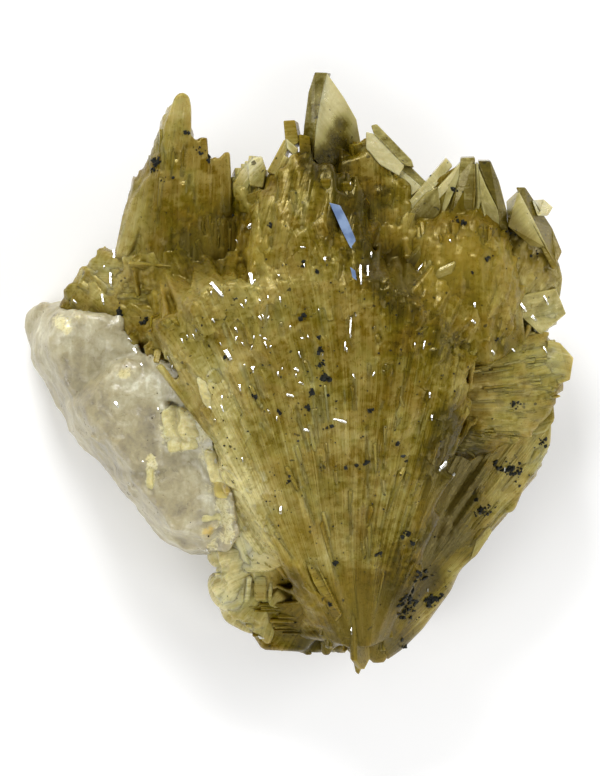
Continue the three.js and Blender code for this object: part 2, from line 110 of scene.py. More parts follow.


# Where the barite is dark, pale or glows, as points in millimetres, each with a reach and a strength. The dark zones
# are painted shade in the hollows, grooves and crevices between the crystals, and the smoky dark colour of the tall
# crystal and the smoky mass.
SHADE_AND_SMOKE = [
    (-13.1, 18.2, 4.4, 0.8), (-15.2, 16.7, 2.2, 0.4), (-10.4, 20.4, 3, 0.4), (-8.3, 22.2, 2.4, 0.5),
    (-7.7, 15.6, 1.6, 0.4), (-18.8, 12, 4.5, 0.3), (-4.3, 26.8, 1.6, 0.6), (1.3, 29.6, 2, 0.75),
    (5.1, 28.6, 2.6, 0.7), (5.8, 32.3, 1.7, 0.9), (6, 35.1, 1.3, 0.7), (4.5, 33.7, 1.0, 0.4), (4.3, 30.5, 1.9, 0.8),
    (6.9, 30.3, 1.4, 0.6), (2.9, 29.2, 1.6, 0.5), (7.5, 22.7, 3.6, 0.55), (5.4, 19.3, 3, 0.3), (9.3, 23.6, 3, 0.4),
    (-18, 8.2, 5, 0.3), (10.7, 19.9, 3.4, 0.5), (11.2, 14.1, 3.2, 1.0), (8.6, 17.4, 1.6, 0.7), (14.2, 14.2, 2.6, 0.8),
    (15.7, 9.5, 3.4, 0.5), (13.9, 17.3, 2.4, 0.4), (22.6, 4, 4, 0.4), (28.8, 4.7, 3.4, 0.35), (20.8, -7.2, 2.8, 0.8),
    (23.5, -11.4, 4, 0.9), (21.5, -17.8, 3.8, 1.0), (20.8, -13.5, 3, 0.7), (19.8, -23.4, 2.8, 0.85),
    (18.2, -28, 2.2, 0.85), (14.9, -32.1, 2.6, 0.7), (13.1, -37.7, 3, 0.6), (15.4, -2.3, 6, 0.2),
    (7.5, -37.5, 4, 0.7), (10.7, -36, 3, 0.6), (1.6, -37.7, 3.2, 0.4), (-1.4, -29, 2.2, 1.0), (0.1, -33.4, 3, 0.3),
    (24.1, -24.1, 3, 0.3), (14.1, -26.1, 3, 0.35), (12.1, -30.3, 3, 0.3), (29.8, 19.8, 1.5, 0.8),
    (33.1, 16.2, 2, 0.55), (-11.7, 17.3, 3, 0.3), (2.4, 20.7, 3.4, 0.4), (7.4, -32.5, 3.6, 0.35),
    (21.2, -15, 3.2, 0.9), (20.5, -9.3, 2.4, 0.4), (20.2, -11, 3, 0.6), (19.4, -18.6, 2.6, 0.5),
    (22, -11.5, 2.4, 0.6), (19.8, -22, 2.4, 0.7), (22.8, -9.3, 2.2, 0.6), (17.8, -30.5, 3, 0.5),
    (11.9, 14.2, 2.4, 0.6), (11.4, 16.9, 2.6, 0.6), (13.1, 12, 2.2, 0.6), (8.1, -32.5, 5, 0.45), (21.9, -15, 3, 0.6),
    (21.8, -13, 3.4, 0.5), (7.4, -34.9, 3, 0.6), (22.3, -16.4, 2.4, 0.5), (10.8, 18.7, 2, 0.4), (23.8, 12.3, 5, 0.3),
    (-2.6, 8.5, 8, 0.2), (22.5, 22.1, 4, 0.25), (-22.3, 22.2, 3, 0.2), (-7.2, -30.8, 2.4, 0.35),
    (0.1, 23.5, 2.4, 0.15), (22.9, 10.2, 2.4, 0.25), (16.8, 3.9, 4, 0.3)]
PALE = [
    (-8.2, 8.8, 8, 0.35), (-10.7, 3.3, 5, 0.35), (-16.4, 36.9, 3, 0.6), (-17.4, 32.7, 3.4, 0.3),
    (-23.6, 22.3, 2.6, 0.6), (-25.1, 17.6, 2.4, 0.7), (-26.3, 13.2, 3, 0.5), (30.9, 0.2, 5, 0.3),
    (36.9, 1.9, 2.2, 0.9), (24, 0.2, 4, 0.15), (-8.5, -19.4, 4.8, 1.0), (-10.2, -13.5, 3.6, 0.9),
    (-7.4, -15.4, 3.4, 0.7), (-9.9, -9.3, 3, 0.6), (-10.7, -4.8, 2.4, 0.5), (-12.1, -1.5, 2, 0.5),
    (-6.9, -21.9, 3, 0.7), (-10.3, -30.5, 3.6, 0.9), (-8.3, -25.6, 4.6, 0.9), (-3.4, -25.5, 2.4, 0.5),
    (-6.9, -21.9, 3, 0.6), (32.7, -10.5, 4, 0.55), (29, -16.4, 3, 0.4), (22, -27.7, 2.4, 0.6),
    (17.8, -33.8, 2.4, 0.5), (-1.3, 18.6, 5, 0.2), (-6.9, 28.8, 2.6, 0.9), (-2.4, 30.6, 1.8, 0.8),
    (-17, 37.8, 2.4, 0.4), (3.6, -6.5, 6, 0.2), (0.1, -2.3, 5, 0.2), (-3.1, 23.5, 5, 0.25), (-29.5, 13.9, 3, 0.5),
    (33.8, 8.9, 3.4, 0.55), (19.7, 24.2, 3, 0.3), (8.7, 8.8, 2.6, 0.2), (-18, 1.9, 3, 0.5), (-15.2, -0.9, 3, 0.6),
    (4.3, -26.1, 3, 0.1)]
WARM = [
    (33.1, 15.2, 4.4, 0.9), (-1.3, -26.1, 3, 0.6), (1.8, -32.1, 3, 0.6), (-4, -20.5, 3, 0.3), (8.6, -37.5, 4, 0.4),
    (22.7, 16.5, 5.0, 0.6), (19.7, 12.3, 3, 0.5), (-6.7, 17, 2.6, 0.7), (-11.7, 18.7, 3.6, 0.5),
    (-20.9, 11.7, 4, 0.5), (7.4, -31.8, 4, 0.6), (0.1, -21.8, 3.4, 0.4), (14.9, 20.1, 3, 0.4), (26.6, 7.4, 3, 0.3),
    (-2.6, -13.4, 3, 0.3), (-17.3, 8.9, 3, 0.4), (18.3, -17.7, 3, 0.3), (13.4, 13.7, 2, 0.3), (-1.3, 34.1, 1.6, 0.6),
    (11.4, -34.6, 2.4, 0.3)]


def zone(spots, points):
    """How strongly each point lies in the zones, from 0 to 1."""
    clear = np.ones(len(points))
    for x, y, reach, strength in spots:
        away = (points[:, 0] - x) ** 2 + (points[:, 1] - y) ** 2
        clear *= 1 - strength * np.exp(-away / reach ** 2)
    return 1 - clear


def mark(mesh, **values):
    """Keeps numbers at the mesh's points, for its finish to read."""
    for name, value in values.items():
        mesh.attributes.new(name, "FLOAT", "POINT").data.foreach_set("value", value)


# ---- finishes ----

BARITE_IOR = 1.64


class Value:
    """A socket of a finish that sums and products can be written with."""

    def __init__(self, finish, socket):
        self.finish, self.socket = finish, socket

    def _math(self, operation, *terms):
        return self.finish.add("ShaderNodeMath", {"operation": operation}, dict(enumerate(terms)))

    def __add__(self, other): return self._math("ADD", self, other)
    def __radd__(self, other): return self._math("ADD", other, self)
    def __sub__(self, other): return self._math("SUBTRACT", self, other)
    def __rsub__(self, other): return self._math("SUBTRACT", other, self)
    def __mul__(self, other): return self._math("MULTIPLY", self, other)
    def __rmul__(self, other): return self._math("MULTIPLY", other, self)


class Finish:
    """A node material with one shader, built up a node at a time."""

    def __init__(self, name, **constants):
        self.material = bpy.data.materials.new(name)
        self.material.use_nodes = True
        self.nodes, self.links = self.material.node_tree.nodes, self.material.node_tree.links
        self.nodes.clear()
        self.output = self.nodes.new("ShaderNodeOutputMaterial")
        self.shader = self.nodes.new("ShaderNodeBsdfPrincipled")
        self.links.new(self.shader.outputs[0], self.output.inputs["Surface"])
        for socket, value in constants.items():
            self.shader.inputs[socket.replace("_", " ")].default_value = value

    def add(self, kind, settings=None, inputs=None, output=0):
        """Adds a node, its settings first, and returns one of its outputs."""
        node = self.nodes.new(kind)
        for name, value in (settings or {}).items():
            if name == "stops":
                ramp = node.color_ramp
                while len(ramp.elements) < len(value):
                    ramp.elements.new(0.5)
                for element, (place, colour) in zip(ramp.elements, value):
                    element.position, element.color = place, (*colour, 1)
            else:
                setattr(node, name, value)
        for name, value in (inputs or {}).items():
            self.plug(node.inputs[name], value)
        return Value(self, node.outputs[output])

    def plug(self, socket, value):
        """Links a value to a socket, or sets the socket to it."""
        if isinstance(value, Value):
            self.links.new(value.socket, socket)
        else:
            socket.default_value = value

    def feed(self, **values):
        """Plugs values into the shader, by the names of its sockets."""
        for socket, value in values.items():
            self.plug(self.shader.inputs[socket.replace("_", " ")], value)

    def place(self):
        """The point on the object, in millimetres."""
        where = self.add("ShaderNodeTexCoord", output="Object")
        return self.add("ShaderNodeVectorMath", {"operation": "SCALE"}, {0: where, "Scale": 1 / MM})

    def at(self, name):
        """What is kept at the mesh's points under this name."""
        return self.add("ShaderNodeAttribute", {"attribute_name": name}, output="Fac")

    def noise(self, where, scale, detail, roughness=0.5, distortion=0.0):
        return self.add("ShaderNodeTexNoise", {}, {
            "Vector": where, "Scale": scale, "Detail": detail, "Roughness": roughness, "Distortion": distortion})

    def grain(self, along, across):
        """Streaks that follow a blade, so many to the millimetre along it and across it."""
        where = self.add("ShaderNodeUVMap", {"uv_map": "grain"})
        where = self.add("ShaderNodeMapping", {}, {"Vector": where, "Scale": (along * 10, across * 10, 1)})
        return self.noise(where, 1.0, 2.0, 0.6)

    def ramp(self, value, *stops):
        return self.add("ShaderNodeValToRGB", {"stops": stops}, {"Fac": value})

    def step(self, value, low, high):
        return self.add("ShaderNodeMapRange", {"interpolation_type": "SMOOTHSTEP"}, {
            "Value": value, "From Min": low, "From Max": high})

    def mix(self, share, first, second):
        node = self.add("ShaderNodeMix", {"data_type": "RGBA"}, {0: share}, output=2)
        for index, value in ((6, first), (7, second)):
            self.plug(node.socket.node.inputs[index], value if isinstance(value, Value) else (*value, 1))
        return node

    def bump(self, height, strength, distance):
        return self.add("ShaderNodeBump", {}, {"Height": height, "Strength": strength, "Distance": distance})

    def absorb(self, colour, density):
        volume = self.nodes.new("ShaderNodeVolumeAbsorption")
        volume.inputs["Color"].default_value = (*colour, 1)
        volume.inputs["Density"].default_value = density
        self.links.new(volume.outputs[0], self.output.inputs["Volume"])


def barite_finish(name, colours, lift=0.0, contrast=1.0, top=None):
    """Massed barite: hairlines along each blade, tones from blade to blade, painted pale streak highlights, and brown
    painted shade where the zones mark hollows.
    """
    finish = Finish(name, IOR=BARITE_IOR, Transmission_Weight=0.08, Subsurface_Weight=0.55, Subsurface_Scale=0.002,
        Subsurface_Radius=(1.0, 0.8, 0.35), Specular_IOR_Level=0.24, Specular_Tint=(1.0, 0.82, 0.3, 1),
        Coat_Weight=0.03, Coat_Roughness=0.08)
    spot = finish.place()
    hairs = finish.grain(0.05, 2.6)
    strands = finish.grain(0.03, 0.7)
    clouds = finish.noise(spot, 0.14, 2.0, 0.5)
    flecks = finish.noise(spot, 1.5, 2.0, 0.55, 0.4)
    light = (finish.at("tone") - 0.5) * (0.24 * contrast)
    light = light + (hairs * 0.45 + strands * 0.55 - 0.5) * finish.at("strand") * (1.4 * contrast)
    light = light + (clouds - 0.5) * (0.62 * contrast) + (flecks - 0.5) * (0.22 * contrast) + (0.405 + lift)
    # Painted highlights: thin pale streaks along the blades, standing in for glints.
    painted_streak_highlights = finish.step(finish.grain(0.3, 4.5), 0.58, 0.74)
    # deep paints shade into the hollows, grooves and crevices, and darkens the smoky barite; the darkest stops of the
    # ramps below are that painted shade.
    light = light + painted_streak_highlights * 0.2 + finish.at("pale") * 0.42 - finish.at("deep") * 0.58
    olive = finish.ramp(light, (0.0, (0.04, 0.03, 0.0004)), (0.24, colours.amber), (0.5, colours.gold),
        (0.74, colours.straw), (1.0, top or colours.cream))
    tan = finish.ramp(light, (0.0, colours.shade), (0.24, (0.138, 0.085, 0.0025)), (0.5, (0.27, 0.2, 0.046)),
                      (0.74, (0.4, 0.325, 0.11)), (1.0, top or (0.7, 0.61, 0.36)))
    colour = finish.mix(finish.step(finish.noise(spot, 0.22, 3.0, 0.6, 0.5), 0.36, 0.66), olive, tan)
    colour = finish.mix(finish.at("warm") * 0.7, colour, colours.ochre)
    specks = finish.step(finish.noise(spot, 1.1, 1.0, 0.5), 0.73, 0.76)
    colour = finish.mix(specks * 0.8, colour, colours.grain)
    finish.feed(Base_Color=colour, Roughness=flecks * 0.5 + hairs * 0.3 - 0.08,
                Normal=finish.bump(hairs + strands + flecks * 0.5, 0.34, 0.0002))
    return finish.material


def clear_finish(name, colours, lift, transmission, relief=0.25):
    """Clear barite: see-through and straw-coloured, with veils and smoke inside, and painted shade where the zones
    mark hollows beside it.
    """
    finish = Finish(name, IOR=BARITE_IOR, Transmission_Weight=transmission, Subsurface_Weight=0.4,
                    Subsurface_Scale=0.0015, Subsurface_Radius=(1.0, 0.8, 0.4), Specular_IOR_Level=0.35,
                    Specular_Tint=(1.0, 0.88, 0.5, 1), Coat_Weight=0.06, Coat_Roughness=0.04)
    spot = finish.place()
    veil = finish.noise(spot, 0.5, 4.0, 0.62, 0.5)
    frost = finish.noise(spot, 2.2, 3.0, 0.7)
    hairs = finish.grain(0.12, 1.6)
    light = (finish.at("tone") - 0.5) * 0.32 + (veil - 0.5) * 0.7 + (frost - 0.5) * 0.25
    light = light + (hairs - 0.5) * 0.3 + (0.62 + lift)
    # deep: the smoky dark colour inside the tall crystal, and painted shade in the hollows among the boards.
    light = light + finish.at("pale") * 0.3 - finish.at("deep") * (veil * 2.2 + frost * 1.2 - 0.75)
    colour = finish.ramp(light, (0.0, (0.03, 0.022, 0.001)), (0.3, (0.12, 0.092, 0.01)), (0.55, colours.straw),
                         (0.85, (0.58, 0.52, 0.26)), (1.0, (0.7, 0.64, 0.37)))
    colour = finish.mix(finish.at("warm") * 0.6, colour, colours.ochre)
    specks = finish.step(finish.noise(spot, 1.1, 1.0, 0.5), 0.72, 0.75)
    colour = finish.mix(specks * 0.7, colour, colours.grain)
    finish.feed(Base_Color=colour, Roughness=veil * 0.4 + frost * 0.3 - 0.16,
                Normal=finish.bump(hairs + frost * 0.5, relief, 0.0002))
    finish.absorb((0.93, 0.86, 0.6), 90)
    return finish.material


def wear(piece, voxel, rounds):
    """Joins all that a piece is made of into one skin and rounds it so many times."""
    modifier = piece.modifiers.new("fused", "REMESH")
    modifier.mode, modifier.voxel_size = "VOXEL", voxel
    bpy.ops.object.modifier_apply(modifier=modifier.name)
    modifier = piece.modifiers.new("rounded", "SMOOTH")
    modifier.factor, modifier.iterations = 0.5, rounds
    bpy.ops.object.modifier_apply(modifier=modifier.name)


def pit(lumps, size, strength):
    """Pits and swells a piece with clouds of the given size, in metres."""
    texture = bpy.data.textures.new("lumps", "CLOUDS")
    texture.noise_scale, texture.noise_depth = size, 2
    modifier = lumps.modifiers.new("pitted", "DISPLACE")
    modifier.texture, modifier.strength, modifier.mid_level = texture, strength, 0.36
    bpy.ops.object.modifier_apply(modifier=modifier.name)


def calcite_finish(colours):
    """Milky calcite with a yellow crust along the barite, and amber painted shade where it runs in under the barite's
    edge.
    """
    finish = Finish("milky_calcite", IOR=1.6, Transmission_Weight=0.06, Subsurface_Weight=0.6,
                    Subsurface_Scale=0.003, Subsurface_Radius=(1.0, 0.85, 0.7), Coat_Weight=0.12, Coat_Roughness=0.12)
    spot = finish.place()
    clouds = finish.noise(spot, 0.2, 4.0, 0.6, 0.6)
    veins = finish.noise(spot, 0.8, 4.0, 0.65, 0.8)
    frost = finish.noise(spot, 2.2, 4.0, 0.7, 0.3)
    turned = finish.add("ShaderNodeMapping", {}, {"Vector": spot, "Rotation": (0, 0, 0.6), "Scale": (1, 0.25, 1)})
    sweeps = finish.noise(turned, 0.5, 3.0, 0.55, 0.4)
    light = clouds + veins * 0.55 + sweeps * 0.8 + frost * 0.35 - 0.82
    light = light + finish.at("pale") * 0.4 - finish.at("deep") * 0.3
    colour = finish.ramp(light, (0.15, (0.235, 0.205, 0.14)), (0.5, colours.calcite), (0.78, (0.54, 0.5, 0.33)),
                         (1.0, (0.78, 0.76, 0.6)))
    crust = finish.step(finish.at("crust") + (veins - 0.5) * 1.3 + (frost - 0.5) * 0.6, 0.36, 0.66)
    colour = finish.mix(crust * 0.85, colour, finish.ramp(frost, (0.35, (0.42, 0.36, 0.13)), (0.5, colours.crust),
                                                         (0.65, (0.76, 0.72, 0.45))))
    rust = finish.step(finish.at("rust") + (veins - 0.5) * 1.0 + (frost - 0.5) * 0.8, 0.4, 0.8)
    colour = finish.mix(rust * 0.85, colour, (0.55, 0.38, 0.04))
    # Painted shade: the calcite turns amber where it runs in under the barite's edge.
    stain = finish.step(finish.at("stain") + (clouds - 0.5) * 0.5, 0.3, 0.7)
    colour = finish.mix(stain * 0.95, colour, colours.amber)
    finish.feed(Base_Color=colour, Roughness=veins * 0.6 + 0.06, Normal=finish.bump(veins + clouds, 0.35, 0.0005))
    return finish.material


def crust_finish():
    """Crumbly, pale yellow calcite."""
    finish = Finish("pale_crust", Subsurface_Weight=0.5, Subsurface_Scale=0.002, Subsurface_Radius=(1.0, 0.8, 0.4),
                    Coat_Weight=0.1, Coat_Roughness=0.1)
    spot = finish.place()
    frost, clouds = finish.noise(spot, 1.6, 4.0, 0.7, 0.4), finish.noise(spot, 0.4, 2.0)
    colour = finish.ramp(frost * 0.6 + clouds * 0.6 - 0.1, (0.3, (0.4, 0.35, 0.15)), (0.5, (0.6, 0.53, 0.24)),
                         (0.7, (0.8, 0.75, 0.48)))
    colour = finish.mix(finish.step(finish.at("tone") + (frost - 0.5) * 0.8, 0.6, 1.3), colour, (0.52, 0.41, 0.08))
    finish.feed(Base_Color=colour, Roughness=frost * 0.6 + 0.1, Normal=finish.bump(frost + clouds, 0.4, 0.0004))
    return finish.material


def painted_reflection_finish():
    """A polished cleavage face with a painted blue reflection in its colour."""
    finish = Finish("painted_blue_reflection", IOR=BARITE_IOR, Coat_Weight=0.5, Coat_Roughness=0.05)
    veil = finish.noise(finish.place(), 0.7, 3.0, 0.6)
    finish.feed(Base_Color=finish.ramp(veil, (0.35, (0.1, 0.155, 0.28)), (0.65, (0.2, 0.28, 0.43))),
                Roughness=veil * 0.3)
    return finish.material


def painted_glint_finish():
    """Small clean faces that catch the lamp."""
    finish = Finish("painted_glint_face", IOR=1.9, Specular_IOR_Level=1.0, Coat_Weight=1.0, Coat_Roughness=0.12)
    veil = finish.noise(finish.place(), 1.4, 3.0, 0.6)
    # The whitish colour paints the glint, besides the lamp's own reflection.
    finish.feed(Base_Color=finish.ramp(veil, (0.35, (0.5, 0.5, 0.38)), (0.6, (0.85, 0.86, 0.8))),
                Roughness=veil * 0.4, Alpha=finish.step(finish.noise(finish.place(), 2.6, 2.0, 0.6), 0.3, 0.62))
    return finish.material


# ---- modelling by hand ----

def deselect():
    """Leaves edit mode and selects nothing."""
    if bpy.context.mode != "OBJECT":
        bpy.ops.object.mode_set(mode="OBJECT")
    bpy.ops.object.select_all(action="DESELECT")


def pick(mesh, test):
    """Selects the vertices of the mesh in edit mode that pass the test, and no others."""
    edit = bmesh.from_edit_mesh(mesh)
    edit.select_mode = {"VERT"}
    for vert in edit.verts:
        vert.select = test(vert)
    edit.select_flush(True)
    bmesh.update_edit_mesh(mesh)


def taken(model):
    """The points and faces of a modelled crystal, which is then cleared away."""
    places = np.array([tuple(vert.co) for vert in model.data.vertices])
    faces = [tuple(face.vertices) for face in model.data.polygons]
    bpy.data.objects.remove(model)
    return places, faces


@functools.cache
def model_plate(rings, edge=0.08, ridge=0.4):
    """One tabular crystal, 1 long in X, 1 deep behind its front edge at Y 0, and 1 thick in Z."""
    deselect()
    bpy.ops.mesh.primitive_cube_add(size=1, location=(0.5, -0.5, 0))
    plate = bpy.context.object
    bpy.ops.object.transform_apply(location=True, rotation=True, scale=True)
    bpy.ops.object.mode_set(mode="EDIT")
    for place in (*rings, RIM):
        bpy.ops.mesh.select_all(action="SELECT")
        bpy.ops.mesh.bisect(plane_co=(place, 0, 0), plane_no=(1, 0, 0))
    bpy.ops.mesh.select_all(action="SELECT")
    bpy.ops.mesh.bisect(plane_co=(0, -edge, 0), plane_no=(0, 1, 0))
    pick(plate.data, lambda vert: vert.co.y > -edge * 0.5)
    bpy.ops.transform.resize(value=(1, 1, ridge))
    bpy.ops.object.mode_set(mode="OBJECT")
    return taken(plate)


def model_slab(face, back, bevel, cuts):
    """A crystal with the given corners on its showing face and its body behind, in millimetres."""
    deselect()
    bpy.ops.mesh.primitive_circle_add(vertices=len(face), radius=1, fill_type="NGON")
    slab = bpy.context.object
    bpy.ops.object.mode_set(mode="EDIT")
    for index, corner in enumerate(face):
        pick(slab.data, lambda vert: vert.index == index)
        start = bmesh.from_edit_mesh(slab.data).verts
        start.ensure_lookup_table()
        bpy.ops.transform.translate(value=Vector(corner) - start[index].co)
    bpy.ops.mesh.select_all(action="SELECT")
    bpy.ops.mesh.extrude_region_move(TRANSFORM_OT_translate={"value": back})
    bpy.ops.mesh.select_all(action="SELECT")
    bpy.ops.mesh.bevel(offset=bevel, segments=1, affect="EDGES")
    for axis in (0, 1) if cuts else ():
        low, high = min(corner[axis] for corner in face), max(corner[axis] for corner in face)
        for place in np.arange(low, high, cuts)[1:]:
            bpy.ops.mesh.select_all(action="SELECT")
            bpy.ops.mesh.bisect(plane_co=(place, place, 0), plane_no=(1 - axis, axis, 0))
    bpy.ops.object.mode_set(mode="OBJECT")
    return taken(slab)


def model_crumb():
    """One small cleavage block of calcite, about 1 in radius."""
    deselect()
    bpy.ops.mesh.primitive_cube_add(size=1.3)
    crumb = bpy.context.object
    bpy.ops.object.mode_set(mode="EDIT")
    pick(crumb.data, lambda vert: vert.co.z > 0)
    bpy.ops.transform.translate(value=(0.35, 0.12, 0))
    bpy.ops.object.mode_set(mode="OBJECT")
    return taken(crumb)


def model_grain():
    """One blunt sphenoid of chalcopyrite, about 1 in radius."""
    deselect()
    bpy.ops.mesh.primitive_cone_add(vertices=4, radius1=1, radius2=0.35, depth=1.1, location=(0, 0, 0.1))
    grain = bpy.context.object
    bpy.ops.object.transform_apply(location=True, rotation=True, scale=True)
    bpy.ops.object.mode_set(mode="EDIT")
    bpy.ops.mesh.select_all(action="SELECT")
    bpy.ops.mesh.bevel(offset=0.12, segments=1)
    bpy.ops.object.mode_set(mode="OBJECT")
    return taken(grain)


# ---- growing crystals ----

def unit(vector):
    return vector / np.linalg.norm(vector)


def rail_point(rail, share):
    """The point a share of the way along a rail of evenly spaced points, in millimetres."""
    place = min(max(share, 0), 1) * (len(rail) - 1)
    index = min(int(place), len(rail) - 2)
    start, end = np.array(rail[index], float), np.array(rail[index + 1], float)
    return start + (end - start) * (place - index)


def pole(roots, tips):
    """The point that the blades between two rails spread from, seen from above."""
    lean, pull = np.zeros((2, 2)), np.zeros(2)
    for share in np.linspace(0, 1, 9):
        root, tip = rail_point(roots, share)[:2], rail_point(tips, share)[:2]
        way = unit(tip - root)
        across = np.eye(2) - np.outer(way, way)
        lean += across
        pull += across @ root
    return np.linalg.solve(lean, pull)


MOST_SWING = 0.7            # radians
SEAM_FLOOR, GRAIN_FLOOR = 8, 6      # in millimetres: seam blades and strewn grains lie higher than this
# The bow of a sheaf from root to tip: shares of its length, and how much of its height each has.
ARCH = ((0, 0.13, 0.27, 0.4, 0.52, 0.66, 0.8, 0.9, 1), (0, 0.3, 0.62, 0.87, 1, 0.93, 0.7, 0.46, 0.2))


class Growth:
    """Copies of modelled crystals, laid side by side and joined into one piece."""

    def __init__(self, seed, rings=(0.3, 0.6)):
        self.roll = random.Random(seed)
        self.plate, self.short = model_plate(rings), model_plate((0.46,))
        self.points, self.faces, self.tones, self.grains, self.smooth = [], [], [], [], []
        self.count = self.fused = 0
        self.tree = None

    def along(self, roots, tips):
        """What is laid and fused next runs from the rail of roots to the rail of tips."""
        self.roots, self.tips = roots, tips

    def take(self, places, faces, tone, grain=None, smooth=False):
        """Adds a crystal's points and faces to the piece."""
        self.points.append(places)
        self.smooth += [smooth] * len(faces)
        self.faces += [tuple(i + self.count for i in face) for face in faces]
        self.count += len(places)
        self.tones.append(np.full(len(places), tone))
        self.grains.append(places[:, :2] if grain is None else grain)

    def lay(self, plate, root, tip, front=(0, 0, 1), start=0.0, end=1.0, depth=4.0, thick=(0.3, 0.6), bow=0.0,
            lift=0.0, rise=0.0, lean=0.0, swing=0.0, cut=1.0, slant=0.4, tone=None):
        """Lays one plate along part of the line from root to tip, on the bowed face of its sheaf."""
        places, faces = plate
        roll = self.roll
        line = tip - root
        length = np.linalg.norm(line)
        u = line / length
        w = unit(np.cross(u, front))
        v = np.cross(w, u)
        leant_w, leant_v = w * math.cos(lean) + v * math.sin(lean), v * math.cos(lean) - w * math.sin(lean)
        own = length * (end - start)
        cut = min(cut, own * 0.4)
        x, y, z = places.T
        a = np.where(x <= RIM, x / RIM * (own - cut), own - cut * (1 - x) / TIP)
        share = start + a / length
        fall = np.clip((a - (own - cut)) / cut, 0, 1)
        height = bow * np.interp(share, *ARCH) + lift + rise * (a / own - 0.5)
        a_skewed = a - np.where(y < -0.5, fall * slant * cut, 0)
        half = thick[0] + (thick[1] - thick[0]) * share
        laid = root + np.outer(start * length + a_skewed, u) + np.outer(height, v) + np.outer(a * math.tan(swing), w)
        laid += np.outer(y * depth - np.where(y > -0.5, fall * cut * 0.8, 0), leant_v) + np.outer(z * half, leant_w)
        shift = roll.random() * 50
        grain = np.column_stack([a + shift, y * depth + z * half + shift * 3]) * CM
        self.take(laid, faces, roll.random() if tone is None else tone, grain)

    def between(self, share):
        """The ends of the line that lies a share of the way across the sheaf."""
        return rail_point(self.roots, share), rail_point(self.tips, share)

    def comb(self, count, depth, thick, bow, cut, reach=0.05, lift=0.4, lean=0.1, sink=0.3, tone=None):
        """Full-length plates side by side between two rails: the body of a sheaf."""
        roll = self.roll
        for i in range(count):
            share = min(max((i + 0.5 + (roll.random() - 0.5) * 1.2) / count, 0), 1)
            self.lay(self.plate, *self.between(share), (0, 0, 1), 0, 1 - reach * roll.random() ** 1.5,
                     depth, tuple(t * (0.8 + 0.5 * roll.random()) for t in thick), bow,
                     -sink + (roll.random() - 0.5) * lift, 0, (roll.random() - 0.5) * 2 * lean, 0,
                     cut * (0.5 + roll.random()), 0.3 + 0.5 * roll.random(), tone)

    def shingle(self, count, thick, bow, reach, length, lift=(-0.3, 0.3), rise=(0.1, 0.7), lean=0.35, swing=0.05):
        """Shorter plates that grow out of the face of a sheaf and end all over it."""
        roll = self.roll
        for _ in range(count):
            ends = self.between(roll.random())
            end = reach[0] + (reach[1] - reach[0]) * math.sqrt(roll.random())
            own = length[0] + (length[1] - length[0]) * roll.random() ** 2
            self.lay(self.short, *ends, (0, 0, 1), max(0, end - own), end, 2.2,
                     tuple(t * (0.45 + 1.1 * roll.random() ** 2) for t in thick), bow,
                     lift[0] + (lift[1] - lift[0]) * roll.random(), rise[0] + (rise[1] - rise[0]) * roll.random(),
                     roll.gauss(0, lean), max(-MOST_SWING, min(MOST_SWING, roll.gauss(0, swing))),
                     0.3 + 0.7 * roll.random(), 0.2 + 0.8 * roll.random())

    def slab(self, face, back, tone, bevel=0.12, proud=None, cuts=0):
        """One crystal by the corners of its showing face, raised or sunk to stand proud of what is grown."""
        if proud is not None:
            shift = self.rise_to(face, proud)
            face = [(x, y, z + shift) for x, y, z in face]
        places, faces = model_slab(face, back, bevel, cuts)
        way = unit(np.array(face[1], float) - np.array(face[0], float))
        across = unit(np.cross(way, (0, 0, 1)))
        self.take(places, faces, tone, np.column_stack([places @ way, places @ across]) * CM)

    def slabs(self, rows, back, bevel, proud=None):
        """Several crystals of one kind, by the tone and the corners of each."""
        for tone, corners in rows:
            self.slab(corners, back, tone, bevel, proud)

    def solid(self):
        """All that is laid so far, as a tree that a point can be dropped on."""
        return BVHTree.FromPolygons(np.concatenate(self.points).tolist(), self.faces)

    def rise_to(self, face, proud):
        """How far the face has to move up for its middle to stand so far above the mass below it."""
        self.tree = self.tree or self.solid()
        corners = np.array(face, float)
        middle = corners.mean(axis=0)
        gaps = []
        for share in (0, 0.5):
            for corner in corners:
                x, y, z = corner * share + middle * (1 - share)
                hit = drop(self.tree, x, y)
                if hit is not None:
                    gaps.append(hit[2] - z)
        return proud + (float(np.median(gaps)) if gaps else 0.0)

    def fuse(self, voxel=0.36, rounds=2):
        """Grows together all that was laid since the last time, and runs its grain out from between the rails."""
        parts = self.points[self.fused:]
        start = sum(len(part) for part in self.points[:self.fused])
        points, tones = np.concatenate(parts), np.concatenate(self.tones[self.fused:])
        old_faces = [face for face in self.faces if face[0] >= start]
        mesh = bpy.data.meshes.new("mass")
        mesh.from_pydata(points.tolist(), [], [tuple(i - start for i in face) for face in old_faces])
        mass = bpy.data.objects.new("mass", mesh)
        bpy.context.collection.objects.link(mass)
        outwards(mass)
        deselect()
        mass.select_set(True)
        bpy.context.view_layer.objects.active = mass
        wear(mass, voxel, rounds)
        places, faces = taken(mass)
        tree = KDTree(len(points))
        for i, point in enumerate(points):
            tree.insert(point, i)
        tree.balance()
        nearest = np.array([tree.find(place)[1] for place in places])
        middle = pole(self.roots, self.tips)
        away = places[:, :2] - middle
        radius = np.linalg.norm(away, axis=1)
        ahead = rail_point(self.tips, 0.5)[:2] - middle
        reach, ahead = np.linalg.norm(ahead), unit(ahead)
        angle = np.arctan2(ahead[0] * away[:, 1] - ahead[1] * away[:, 0], away @ ahead)
        self.faces = [face for face in self.faces if face[0] < start]
        del self.smooth[len(self.faces):]
        del self.points[self.fused:], self.tones[self.fused:], self.grains[self.fused:]
        self.count = start
        grain = np.column_stack([radius, angle * reach + places[:, 2] * 0.5]) * CM
        self.take(places, faces, 0.0, grain, True)
        self.tones[-1] = tones[nearest]
        self.fused = len(self.points)
        self.tree = None

